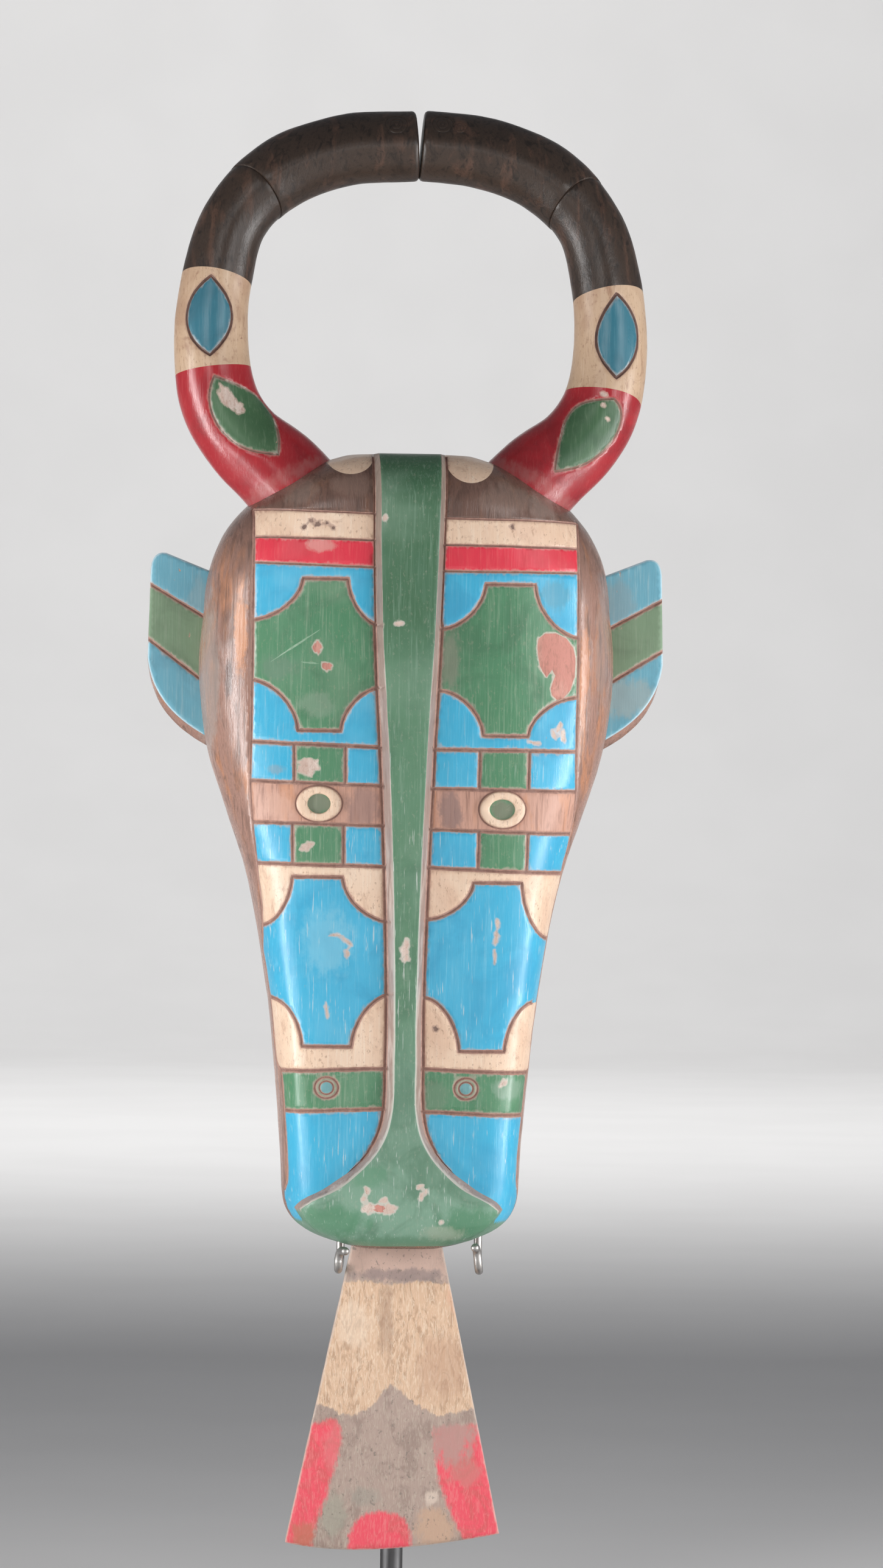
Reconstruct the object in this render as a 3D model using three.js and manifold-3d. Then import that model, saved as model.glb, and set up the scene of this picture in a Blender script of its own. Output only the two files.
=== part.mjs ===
// A painted wooden cow mask whose horns nearly close into a ring, with its tongue board,
// on a steel display stand. Millimetres, +Z up, the face looks along -Y, and the origin
// lies on the floor under the middle of the foot.
import * as THREE from 'three';
import { mergeVertices } from 'three/addons/utils/BufferGeometryUtils.js';
import Module from 'manifold-3d';

const wasm = await Module();
wasm.setup();

// Clearance kept between pieces that touch
const TOUCH_GAP = 0.3;

// Where the mask sits: height of the chin above the floor, and the plane of its back rim
const CHIN_HEIGHT = 286;
const BACK_RIM_Y = 48;

// Head. Heights are measured up from the chin, depths forward from the back rim.
const HEAD = { height: 556, sideDepth: 38, rimInset: 5 };
// How the outline narrows at both ends: from where, and how square the corner stays
const CHIN_CORNER = { reach: 50, flat: 2, square: 3.2, round: 2.2 };
const CROWN_CORNER = { reach: 112, flat: 6, square: 2.4, round: 1.8 };
// How the front rolls back at both ends
const CHIN_ROLL = { height: 26, depth: 18 };
const CROWN_ROLL = { height: 40, depth: 40 };
const HEAD_HALF_WIDTHS = [
  [0, 82], [60, 84.5], [130, 90], [200, 99], [260, 111], [305, 125.5],
  [345, 138.5], [380, 144.5], [415, 146], [450, 143], [500, 141], [560, 141],
];
const HEAD_DEPTHS = [[0, 90], [120, 96], [300, 104], [480, 108], [560, 108]];
const HEAD_SQUARENESS = [[0, 5], [60, 9], [200, 9], [300, 5], [400, 4.2], [560, 4.2]];

// Raised nose ridge: half-width of its green top, which flares into the muzzle
const RIDGE = { bevel: 6.3, height: 13, chinHeight: 8, chinReach: 90, widestShare: 0.93 };
const RIDGE_HALF_WIDTHS = [
  [0, 72], [24, 72], [34, 61], [42, 45], [54, 30], [68, 18], [86, 10.2], [135, 7.6],
  [253, 9.5], [341, 13.1], [442, 18.6], [556, 21.5],
];

// Hollow behind the face
const HOLLOW = { floor: 22, top: 530, sideWall: 21, frontWall: 24, cornerRound: 4 };

// Rings round the eyes, raised on the face
const EYE = { x: 63.5, z: 309, outerX: 16.5, outerZ: 13.3, innerX: 9, innerZ: 7.5, rise: 1.8, sunk: 6 };

// Horns: centre line of the right one, from the root in the head to the tip
const HORN = { y: -48, keel: 0.12, rimRound: 3, stations: 30, sides: 16 };
const HORN_PATH = [
  { x: 58, z: 506, radius: 34 },
  { x: 92, z: 543, radius: 32 },
  { x: 118, z: 566, radius: 28.9 },
  { x: 134, z: 592, radius: 27.6 },
  { x: 140.5, z: 632, radius: 26 },
  { x: 137.5, z: 677, radius: 24.8 },
  { x: 124, z: 721.6, radius: 23.5 },
  { x: 92, z: 754, radius: 24.6 },
  { x: 48, z: 770.5, radius: 24.6 },
];
const HORN_TIP = { z: 774.5, radius: 24.2, gapCentre: 4, gap: 3 };

// Ears: plates that stand out from the sides, with a bevel under the lower curve.
// The right one's outline, from the root's lower end round to its upper end.
const EAR = { y: -30, thickness: 12, bevel: 7, steps: 8 };
const EAR_OUTLINE = {
  rootLow: [122, 350],
  curveStart: [140, 357],
  curvePull: [[166, 371], [179.5, 388]],
  curveEnd: [182.5, 412],
  sideTop: [181, 475],
  corner: [180, 488],
  cornerEnd: [170, 486],
  rootHigh: [122, 467],
};

// Tongue board, hung by a wider head inside the mouth
const TONGUE = {
  centre: -2,
  frontY: -57,
  thickness: 9,
  topHalf: 31.9,
  flare: 0.2115,
  headHalf: 38,
  headTop: 36,
  leftLow: -208.5,
  rightLow: -201.5,
  bow: { sideways: -24, z: -221 },
};
// Notch in the mouth's floor, open to the back, that the tongue hangs through
const MOUTH = { clearance: 1.6, past: 5 };

// Stand
const FOOT = { width: 300, depth: 240, thickness: 10, corner: 14, bossRadius: 18, boss: 6 };
const POST = { radius: 8, y: 14, top: 405, sides: 20 };
const PRONG = {
  radius: 2.9,
  // Sideways places of each prong's parts, left and right
  arms: [
    { back: -39.2, foot: -43.8, leg: -43.5, tab: -39.5 },
    { back: 59, foot: 55, leg: 53, tab: 51.2 },
  ],
  joinHeight: 34,
  runHeight: -16,
  legY: -72,
  tabY: -86,
  bend: 9,
  sides: 10,
  halvings: 12,
};
const REST = { radius: 5, barRadius: 4, barHalf: 30, sunk: 2 };
const BEND_STEPS = 4;
const ROD_DOME = { reach: 0.7, size: 0.6 };
// A direction that no rod runs along, from which their sections are turned
const ROD_ROLL = new THREE.Vector3(0.31, 0.17, 0.93);

// How finely the head is sliced
const CHIN_SLICES = { reach: 64, count: 11 };
const MIDDLE_SLICES = 17;
const CROWN_SLICES = { reach: 90, count: 10 };
const SIDE_STEPS = 8;
const HOLLOW_SLICES = 16;
const HOLLOW_SIDE_STEPS = 6;

// Smooth value through [place, value] nodes
function through(nodes) {
  const places = nodes.map(([place]) => place);
  const values = nodes.map(([, value]) => value);
  const curve = new THREE.CubicInterpolant(places, values, 1);
  const low = places[0];
  const high = places[places.length - 1];
  return (place) => curve.evaluate(THREE.MathUtils.clamp(place, low, high))[0];
}

// Closed body through rings of points that turn counter-clockwise seen from the last ring
function loft(rings) {
  const count = rings[0].length;
  const points = rings.flat();
  const faces = [];
  for (let level = 0; level + 1 < rings.length; level += 1) {
    for (let i = 0; i < count; i += 1) {
      const a = level * count + i;
      const b = level * count + ((i + 1) % count);
      faces.push(a, b, b + count, a, b + count, a + count);
    }
  }
  [0, rings.length - 1].forEach((level) => {
    const middle = new THREE.Vector3();
    rings[level].forEach((point) => middle.addScaledVector(point, 1 / count));
    points.push(middle);
    for (let i = 0; i < count; i += 1) {
      const a = level * count + i;
      const b = level * count + ((i + 1) % count);
      faces.push(points.length - 1, level === 0 ? b : a, level === 0 ? a : b);
    }
  });
  const geometry = new THREE.BufferGeometry().setFromPoints(points);
  geometry.setIndex(faces);
  return geometry;
}

function solid(geometry) {
  const bare = geometry.clone();
  bare.deleteAttribute('normal');
  bare.deleteAttribute('uv');
  const merged = mergeVertices(bare, 1e-4);
  return new wasm.Manifold(new wasm.Mesh({
    numProp: 3,
    vertProperties: new Float32Array(merged.attributes.position.array),
    triVerts: new Uint32Array(merged.index.array),
  }));
}

function surface(body) {
  const mesh = body.getMesh();
  const geometry = new THREE.BufferGeometry();
  geometry.setAttribute('position', new THREE.BufferAttribute(mesh.vertProperties, 3));
  geometry.setIndex(new THREE.BufferAttribute(mesh.triVerts, 1));
  geometry.computeVertexNormals();
  return geometry;
}

function block(x0, x1, y0, y1, z0, z1) {
  const geometry = new THREE.BoxGeometry(x1 - x0, y1 - y0, z1 - z0);
  return geometry.translate((x0 + x1) / 2, (y0 + y1) / 2, (z0 + z1) / 2);
}

// Head form
const middleHalfWidth = through(HEAD_HALF_WIDTHS);
const middleDepth = through(HEAD_DEPTHS);
const squareness = through(HEAD_SQUARENESS);
const ridgeHalfWidth = through(RIDGE_HALF_WIDTHS);

// Share of the full width left at a height, where the outline turns in at an end
function cornerShare(fromEnd, corner) {
  const near = Math.max(0, 1 - (fromEnd + corner.flat) / corner.reach);
  return (1 - near ** corner.square) ** (1 / corner.round);
}

function headHalfWidth(z) {
  return middleHalfWidth(z) * cornerShare(z, CHIN_CORNER) * cornerShare(HEAD.height - z, CROWN_CORNER);
}

function rollBack(fromEnd, roll) {
  const near = Math.max(0, 1 - fromEnd / roll.height);
  return roll.depth * (1 - Math.sqrt(1 - near ** 2));
}

function headDepth(z) {
  return middleDepth(z) - rollBack(z, CHIN_ROLL) - rollBack(HEAD.height - z, CROWN_ROLL);
}

// Depth of the face surface, without the nose ridge, on a dome of that half-width and depth
function domeY(x, z, halfWidth, depth) {
  const reach = Math.min(Math.abs(x) / halfWidth, 1);
  const dome = Math.sqrt(1 - reach ** squareness(z));
  return -(HEAD.sideDepth + (depth - HEAD.sideDepth) * dome);
}

function mirrored(halfRing) {
  const left = halfRing.slice(1).reverse().map((p) => new THREE.Vector3(-p.x, p.y, p.z));
  return [...halfRing, ...left];
}

// One level slice of the head, from the middle of the front round to the back rim
function headRing(z) {
  const halfWidth = headHalfWidth(z);
  const depth = headDepth(z);
  const top = Math.min(ridgeHalfWidth(z), RIDGE.widestShare * halfWidth - RIDGE.bevel);
  const foot = top + RIDGE.bevel;
  const nearChin = THREE.MathUtils.clamp(1 - z / RIDGE.chinReach, 0, 1);
  const rise = THREE.MathUtils.lerp(RIDGE.height, RIDGE.chinHeight, nearChin);
  const front = (x, raised) => new THREE.Vector3(x, domeY(x, z, halfWidth, depth) - raised, z);
  const half = [front(0, rise), front(top / 2, rise), front(top, rise)];
  for (let i = 0; i <= SIDE_STEPS; i += 1) {
    const share = Math.sin((i / SIDE_STEPS) * Math.PI / 2);
    half.push(front(THREE.MathUtils.lerp(foot, halfWidth, share), 0));
  }
  half.push(new THREE.Vector3(halfWidth - HEAD.rimInset / 4, -HEAD.sideDepth / 2, z));
  half.push(new THREE.Vector3(halfWidth - HEAD.rimInset, 0, z));
  return mirrored(half);
}

// Slice heights, closer together at the chin and the crown
function headLevels() {
  const levels = [];
  const middleTop = HEAD.height - CROWN_SLICES.reach;
  for (let i = 0; i < CHIN_SLICES.count; i += 1) {
    levels.push(CHIN_SLICES.reach * (1 - Math.cos((i / CHIN_SLICES.count) * Math.PI / 2)));
  }
  for (let i = 0; i < MIDDLE_SLICES; i += 1) {
    levels.push(THREE.MathUtils.lerp(CHIN_SLICES.reach, middleTop, i / MIDDLE_SLICES));
  }
  for (let i = 0; i <= CROWN_SLICES.count; i += 1) {
    levels.push(middleTop + CROWN_SLICES.reach * Math.sin((i / CROWN_SLICES.count) * Math.PI / 2));
  }
  return levels;
}

// Space behind the face, a little past the back rim
function hollowBody() {
  const { floor, top, cornerRound } = HOLLOW;
  const levels = [floor, floor + cornerRound];
  for (let i = 1; i < HOLLOW_SLICES; i += 1) {
    levels.push(THREE.MathUtils.lerp(floor, top, i / HOLLOW_SLICES));
  }
  levels.push(top - cornerRound, top);
  const rings = levels.map((z) => {
    const edge = Math.min(z - floor, top - z, cornerRound);
    const pinch = cornerRound - Math.sqrt(cornerRound ** 2 - (cornerRound - edge) ** 2);
    const halfWidth = headHalfWidth(z) - HOLLOW.sideWall - pinch;
    const depth = headDepth(z) - HOLLOW.frontWall - pinch;
    const half = [];
    for (let i = 0; i <= HOLLOW_SIDE_STEPS; i += 1) {
      const x = halfWidth * Math.sin((i / HOLLOW_SIDE_STEPS) * Math.PI / 2);
      half.push(new THREE.Vector3(x, domeY(x, z, halfWidth, depth), z));
    }
    half.push(new THREE.Vector3(halfWidth, HEAD.rimInset, z));
    return mirrored(half);
  });
  return solid(loft(rings));
}

function eyeBody(side) {
  const ring = new THREE.Shape();
  ring.absellipse(0, 0, EYE.outerX, EYE.outerZ, 0, 2 * Math.PI);
  const middle = new THREE.Path();
  middle.absellipse(0, 0, EYE.innerX, EYE.innerZ, 0, 2 * Math.PI, true);
  ring.holes.push(middle);
  const geometry = new THREE.ExtrudeGeometry(ring, {
    depth: EYE.rise + EYE.sunk,
    bevelEnabled: false,
    curveSegments: 12,
  });
  const faceY = domeY(EYE.x, EYE.z, headHalfWidth(EYE.z), headDepth(EYE.z));
  return solid(geometry.rotateX(Math.PI / 2).translate(side * EYE.x, faceY + EYE.sunk, EYE.z));
}

// One horn: side 1 is right, -1 is left
function hornBody(side) {
  const tip = { x: side * HORN_TIP.gapCentre + HORN_TIP.gap / 2, z: HORN_TIP.z };
  const nodes = [...HORN_PATH, { x: tip.x, z: tip.z, radius: HORN_TIP.radius }];
  const path = new THREE.CatmullRomCurve3(
    nodes.map((node) => new THREE.Vector3(side * node.x, HORN.y, node.z)),
  );
  const last = nodes.length - 1;
  const radiusAt = through(nodes.map((node, i) => [i / last, node.radius]));
  const forward = new THREE.Vector3(0, -1, 0);
  const rings = [];
  const ring = (place, centre, shrink) => {
    const along = path.getTangent(place);
    const across = new THREE.Vector3().crossVectors(forward, along);
    const radius = radiusAt(place) - shrink;
    const points = [];
    for (let i = 0; i < HORN.sides; i += 1) {
      const angle = (i / HORN.sides) * 2 * Math.PI;
      const sideways = radius * Math.cos(angle);
      const front = radius * Math.sin(angle);
      const keel = front > 0 ? HORN.keel * radius * (1 - Math.abs(Math.cos(angle))) ** 2 : 0;
      points.push(centre.clone()
        .addScaledVector(across, sideways)
        .addScaledVector(forward, front + keel));
    }
    rings.push(points);
  };
  for (let i = 0; i < HORN.stations; i += 1) {
    const place = i / HORN.stations;
    ring(place, path.getPoint(place), 0);
  }
  const end = path.getPoint(1);
  const inward = path.getTangent(1).multiplyScalar(-HORN.rimRound);
  ring(1, end.clone().add(inward), 0);
  ring(1, end, HORN.rimRound * 0.7);
  return solid(loft(rings));
}

// Ear plate: its back outline hangs lower than the painted front, which bevels the edge
function earBody(side) {
  const outline = (drop) => {
    const { rootLow, curveStart, curvePull, curveEnd, sideTop, corner, cornerEnd, rootHigh } = EAR_OUTLINE;
    const shape = new THREE.Shape();
    shape.moveTo(rootLow[0], rootLow[1] - drop);
    shape.lineTo(curveStart[0], curveStart[1] - drop);
    shape.bezierCurveTo(
      curvePull[0][0], curvePull[0][1] - drop,
      curvePull[1][0], curvePull[1][1] - drop,
      curveEnd[0], curveEnd[1],
    );
    shape.lineTo(...sideTop);
    shape.quadraticCurveTo(...corner, ...cornerEnd);
    shape.lineTo(...rootHigh);
    return shape.getPoints(EAR.steps);
  };
  const ring = (drop, y) => outline(drop).map((p) => new THREE.Vector3(side * p.x, y, p.y));
  const front = ring(0, EAR.y);
  const back = ring(EAR.bevel, EAR.y + EAR.thickness);
  return solid(loft(side > 0 ? [back, front] : [front, back]));
}

function maskBody() {
  const levels = headLevels();
  const head = solid(loft(levels.map(headRing)));
  const mouthHalf = TONGUE.topHalf + MOUTH.clearance;
  const mouth = solid(block(
    TONGUE.centre - mouthHalf,
    TONGUE.centre + mouthHalf,
    TONGUE.frontY - MOUTH.clearance,
    MOUTH.past,
    -MOUTH.past,
    HOLLOW.floor + MOUTH.past,
  ));
  return [1, -1]
    .reduce((body, side) => body.add(hornBody(side)).add(earBody(side)).add(eyeBody(side)), head)
    .subtract(hollowBody())
    .subtract(mouth);
}

function tongueGeometry() {
  const half = (z) => TONGUE.topHalf - TONGUE.flare * z;
  const neck = HOLLOW.floor + TOUCH_GAP;
  const shape = new THREE.Shape();
  const x = (sideways) => TONGUE.centre + sideways;
  shape.moveTo(x(-half(TONGUE.leftLow)), TONGUE.leftLow);
  shape.quadraticCurveTo(
    x(TONGUE.bow.sideways), TONGUE.bow.z,
    x(half(TONGUE.rightLow)), TONGUE.rightLow,
  );
  shape.lineTo(x(half(neck)), neck);
  shape.lineTo(x(TONGUE.headHalf), neck);
  shape.lineTo(x(TONGUE.headHalf), TONGUE.headTop);
  shape.lineTo(x(-TONGUE.headHalf), TONGUE.headTop);
  shape.lineTo(x(-TONGUE.headHalf), neck);
  shape.lineTo(x(-half(neck)), neck);
  const geometry = new THREE.ExtrudeGeometry(shape, {
    depth: TONGUE.thickness,
    bevelEnabled: false,
    curveSegments: 16,
  });
  return geometry.rotateX(Math.PI / 2).translate(0, TONGUE.frontY + TONGUE.thickness, 0);
}

// Round rod that follows straight runs with a bend at each corner and a domed far end
function rodBody(corners, bend, radius, sides) {
  const stations = [corners[0]];
  for (let i = 1; i + 1 < corners.length; i += 1) {
    const before = corners[i - 1].clone().sub(corners[i]).setLength(bend).add(corners[i]);
    const after = corners[i + 1].clone().sub(corners[i]).setLength(bend).add(corners[i]);
    const arc = new THREE.QuadraticBezierCurve3(before, corners[i], after);
    stations.push(...arc.getPoints(BEND_STEPS));
  }
  stations.push(corners[corners.length - 1]);
  const count = stations.length;
  const along = stations.map((_, i) => {
    const from = stations[Math.max(i - 1, 0)];
    const to = stations[Math.min(i + 1, count - 1)];
    return to.clone().sub(from).normalize();
  });
  let across = ROD_ROLL.clone().cross(along[0]).normalize();
  const frames = along.map((direction) => {
    across = across.clone().addScaledVector(direction, -across.dot(direction)).normalize();
    return { direction, across, upward: new THREE.Vector3().crossVectors(direction, across) };
  });
  const ring = (frame, centre, size) => {
    const points = [];
    for (let i = 0; i < sides; i += 1) {
      const angle = (i / sides) * 2 * Math.PI;
      points.push(centre.clone()
        .addScaledVector(frame.across, size * Math.cos(angle))
        .addScaledVector(frame.upward, size * Math.sin(angle)));
    }
    return points;
  };
  const rings = stations.map((centre, i) => ring(frames[i], centre, radius));
  const last = frames[count - 1];
  const dome = stations[count - 1].clone().addScaledVector(last.direction, ROD_DOME.reach * radius);
  rings.push(ring(last, dome, ROD_DOME.size * radius));
  return solid(loft(rings));
}

function prongBody({ back, foot, leg, tab }) {
  const corners = [
    new THREE.Vector3(0, POST.y, PRONG.joinHeight),
    new THREE.Vector3(back, POST.y, PRONG.joinHeight),
    new THREE.Vector3(back, POST.y, PRONG.runHeight),
    new THREE.Vector3(foot, PRONG.legY, PRONG.runHeight),
    new THREE.Vector3(leg, PRONG.legY, tabHeight(tab)),
    new THREE.Vector3(tab, PRONG.tabY, tabHeight(tab)),
  ];
  return rodBody(corners, PRONG.bend, PRONG.radius, PRONG.sides);
}

// The tab lies just under the muzzle's lower edge, which rises to the sides
function tabHeight(x) {
  let low = 0;
  let high = CHIN_CORNER.reach;
  for (let i = 0; i < PRONG.halvings; i += 1) {
    const middle = (low + high) / 2;
    if (headHalfWidth(middle) < Math.abs(x) + PRONG.radius / 2) low = middle;
    else high = middle;
  }
  return low - PRONG.radius - TOUCH_GAP;
}

function cradleBody() {
  const base = FOOT.thickness + FOOT.boss + TOUCH_GAP - CHIN_HEIGHT;
  const post = new THREE.CylinderGeometry(POST.radius, POST.radius, POST.top - base, POST.sides);
  post.rotateX(Math.PI / 2).translate(0, POST.y, (POST.top + base) / 2);
  const reachY = domeY(0, POST.top, headHalfWidth(POST.top), headDepth(POST.top) - HOLLOW.frontWall);
  const barY = reachY + REST.barRadius + TOUCH_GAP;
  const armZ = POST.top - REST.radius;
  const arm = rodBody(
    [new THREE.Vector3(0, POST.y, armZ), new THREE.Vector3(0, barY + REST.sunk, armZ)],
    0, REST.radius, PRONG.sides,
  );
  const bar = new THREE.CylinderGeometry(REST.barRadius, REST.barRadius, 2 * REST.barHalf, PRONG.sides);
  bar.rotateZ(Math.PI / 2).translate(0, barY, armZ);
  return [arm, solid(bar), ...PRONG.arms.map(prongBody)]
    .reduce((body, piece) => body.add(piece), solid(post));
}

function footBody() {
  const w = FOOT.width / 2;
  const d = FOOT.depth / 2;
  const r = FOOT.corner;
  const shape = new THREE.Shape();
  shape.moveTo(-w + r, -d);
  shape.lineTo(w - r, -d);
  shape.absarc(w - r, -d + r, r, -Math.PI / 2, 0);
  shape.absarc(w - r, d - r, r, 0, Math.PI / 2);
  shape.absarc(-w + r, d - r, r, Math.PI / 2, Math.PI);
  shape.absarc(-w + r, -d + r, r, Math.PI, 1.5 * Math.PI);
  const plate = new THREE.ExtrudeGeometry(shape, {
    depth: FOOT.thickness,
    bevelEnabled: false,
    curveSegments: 6,
  });
  const top = FOOT.thickness + FOOT.boss;
  const boss = new THREE.CylinderGeometry(FOOT.bossRadius, FOOT.bossRadius, top / 2, POST.sides);
  boss.rotateX(Math.PI / 2).translate(0, BACK_RIM_Y + POST.y, 0.75 * top);
  return solid(plate).add(solid(boss));
}

const paintedWood = new THREE.MeshStandardMaterial({ color: 0x4bb9e1, roughness: 0.6, metalness: 0 });
const tongueWood = new THREE.MeshStandardMaterial({ color: 0xd9b295, roughness: 0.8, metalness: 0 });
const rodSteel = new THREE.MeshStandardMaterial({ color: 0xb8bcc0, roughness: 0.3, metalness: 1 });
const plateSteel = new THREE.MeshStandardMaterial({ color: 0x8d9094, roughness: 0.4, metalness: 1 });

function named(name, geometry, material) {
  const mesh = new THREE.Mesh(geometry, material);
  mesh.name = name;
  return mesh;
}

const held = new THREE.Group();
held.position.set(0, BACK_RIM_Y, CHIN_HEIGHT);
held.add(
  named('mask', surface(maskBody()), paintedWood),
  named('tongue', tongueGeometry(), tongueWood),
  named('stand_cradle', surface(cradleBody()), rodSteel),
);

const group = new THREE.Group();
group.add(held, named('stand_foot', surface(footBody()), plateSteel));

export default group;
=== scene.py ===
"""Painted wooden cow mask with ring horns and a hanging tongue board, on a steel display stand.

Lengths are millimetres in the mask's own frame until a mesh is made: x to the viewer's right, y back
from the face with 0 on the back rim, and z up from the chin. A mesh is in metres in the scene's frame.
"""

from __future__ import annotations

import logging
import math
from dataclasses import dataclass, field
from enum import IntEnum
from typing import Sequence

import bmesh
import bpy
import numpy as np
from mathutils import Matrix, Vector, kdtree, noise
from mathutils.geometry import delaunay_2d_cdt


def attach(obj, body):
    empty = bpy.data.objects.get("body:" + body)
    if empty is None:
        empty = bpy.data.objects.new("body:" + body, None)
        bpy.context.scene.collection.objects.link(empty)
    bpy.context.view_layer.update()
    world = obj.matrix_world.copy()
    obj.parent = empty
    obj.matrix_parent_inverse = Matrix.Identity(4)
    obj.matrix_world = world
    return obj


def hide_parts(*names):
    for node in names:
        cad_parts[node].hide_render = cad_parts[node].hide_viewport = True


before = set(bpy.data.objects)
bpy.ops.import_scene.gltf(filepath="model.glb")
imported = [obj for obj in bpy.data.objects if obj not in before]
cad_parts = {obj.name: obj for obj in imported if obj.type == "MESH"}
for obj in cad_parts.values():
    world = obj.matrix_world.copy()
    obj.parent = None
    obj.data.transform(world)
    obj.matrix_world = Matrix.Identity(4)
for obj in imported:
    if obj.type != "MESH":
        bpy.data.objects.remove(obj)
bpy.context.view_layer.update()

Array = np.ndarray
Pair = tuple[float, float]
Triple = tuple[float, float, float]
Four = tuple[float, float, float, float]
Colour = Triple
Table = tuple[Array, Array, Array, Array]
Material = bpy.types.Material
Object = bpy.types.Object
Socket = bpy.types.NodeSocket

log = logging.getLogger("cow_mask")

MM = 0.001
CHIN_HEIGHT = 286.0
BACK_RIM_Y = 48.0
BODY = "root"
LINE_STEP = 2.6


class Slot(IntEnum):
    """Finish of each face of the mask, in the order of its material slots."""

    SIDE_WOOD = 0
    GROOVE = 1
    BEVEL = 2
    BLUE = 3
    GREEN = 4
    CREAM = 5
    RED = 6
    EYE_WOOD = 7
    CHIP = 8
    BARE_CHIP = 9
    DARK_CHIP = 10
    DOT_BLUE = 11
    HORN_WOOD = 12
    HORN_CREAM = 13
    HORN_BLUE = 14
    HORN_RED = 15
    HORN_GREEN = 16
    OUTLINE = 17
    EAR_BLUE = 18
    EAR_GREEN = 19
    RAW_WOOD = 20
    RIDGE = 21
    LEAF_LINE = 22
    SCRATCH = 23


# Small mathematics


@dataclass(frozen=True)
class Profile:
    """Smooth value along a length, through given nodes."""

    nodes: tuple[Pair, ...]

    def __call__(self, place: Array | float) -> Array:
        """Value at each place, held level past both ends.

        Args:
            place: Places along the length.

        Returns:
            The values, in the shape of the places.
        """
        places, values = np.array(self.nodes, float).T
        secants = np.diff(values) / np.diff(places)
        slopes = (np.append(secants[0], secants) + np.append(secants, secants[-1])) / 2
        spot = np.clip(np.asarray(place, float), places[0], places[-1])
        high = np.clip(np.searchsorted(places, spot, side="right"), 1, len(places) - 1)
        low = high - 1
        gap = places[high] - places[low]
        p = (spot - places[low]) / gap
        lean = slopes[low] * (1 - p) - slopes[high] * p
        return values[low] + (values[high] - values[low]) * ease(p) + gap * p * (1 - p) * lean


def ease(share: Array | float) -> Array:
    """Smooth step from 0 to 1."""
    t = np.clip(share, 0, 1)
    return t * t * (3 - 2 * t)


def pairs(x: Array | float, z: Array | float) -> Array:
    """Places from sideways and upward values, of which one may be a single number."""
    return np.column_stack(np.broadcast_arrays(x, z))


def in_order(some: Array, points: Array, axis: int) -> Array:
    """Point numbers in the order of one coordinate."""
    return some[np.argsort(points[some, axis])]


def looped(line: Array) -> Array:
    """The line with its first place again at the end."""
    return np.vstack([line, line[:1]])


def crosswise(along: Array) -> Array:
    """Unit vectors a quarter turn to the left of the given ones."""
    along = along / np.maximum(np.linalg.norm(along, axis=1), 1e-9)[:, None]
    return pairs(-along[:, 1], along[:, 0])


def quads(first: Sequence[int], second: Sequence[int]) -> list[list[int]]:
    """Faces between two closed rings of point numbers."""
    after = [*range(1, len(first)), 0]
    return [[int(n) for n in (first[i], first[j], second[j], second[i])] for i, j in enumerate(after)]


def flutter(points: Array, wave: float, seed: float) -> Array:
    """Smooth random value at each point.

    Args:
        points: Places with two or three coordinates each.
        wave: Size of one wave.
        seed: Number that picks the pattern.

    Returns:
        One value for each point, mostly within -0.6 to 0.6.
    """
    spots = np.zeros((len(points), 3))
    spots[:, : points.shape[1]] = points / wave
    spots += (seed, 1.7 * seed, 0.4)
    return np.array([noise.noise(Vector(spot)) for spot in spots])


def distance_to_line(points: Array, line: Array, reach: float) -> Array:
    """Distance from each point to a line of straight parts.

    Args:
        points: N by 2 places.
        line: M by 2 corners.
        reach: How far past the line's box to look.

    Returns:
        N distances, infinite past the reach.
    """
    found = np.full(len(points), np.inf)
    near = np.flatnonzero(((points > line.min(0) - reach) & (points < line.max(0) + reach)).all(1))
    start, step = line[:-1], np.diff(line, axis=0)
    size = np.maximum((step**2).sum(1), 1e-12)
    for part in np.array_split(near, max(1, len(near) // 4000)):
        away = points[part][:, None] - start
        share = np.clip((away * step).sum(2) / size, 0, 1)
        found[part] = np.sqrt(((away - share[..., None] * step) ** 2).sum(2)).min(1)
    return found


def inside(points: Array, outline: Array) -> Array:
    """Whether each point lies inside a closed outline.

    Args:
        points: Places.
        outline: Corners, in order.

    Returns:
        One truth value for each place.
    """
    px, py = points[:, :1], points[:, 1:2]
    x0, y0 = outline.T
    x1, y1 = np.roll(outline, -1, axis=0).T
    crosses = (y0 > py) != (y1 > py)
    rise = np.where(y1 == y0, 1, y1 - y0)
    return ((crosses & (px < x0 + (py - y0) * (x1 - x0) / rise)).sum(1) % 2).astype(bool)


def trace(corners: Sequence[Pair] | Array, spacing: float, closed: bool = False) -> Array:
    """Points along straight runs between corners, corners kept.

    Args:
        corners: Places of the corners.
        spacing: Longest gap between points.
        closed: Whether the last corner joins the first.

    Returns:
        N by 2 points. A closed line doesn't repeat its first point.
    """
    ends = [*corners, corners[0]] if closed else list(corners)
    run: list[Pair] = []
    for start, end in zip(ends, ends[1:]):
        count = max(1, math.ceil(math.dist(start, end) / spacing))
        run += [
            (start[0] + (end[0] - start[0]) * i / count, start[1] + (end[1] - start[1]) * i / count)
            for i in range(count)
        ]
    if not closed:
        run.append(tuple(ends[-1]))
    return np.array(run, float)


def oval(x: float, z: float, reach_x: float, reach_z: float, count: int) -> Array:
    """Closed oval line, counter-clockwise."""
    turn = np.arange(count) * 2 * math.pi / count
    return pairs(x + reach_x * np.cos(turn), z + reach_z * np.sin(turn))


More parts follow.
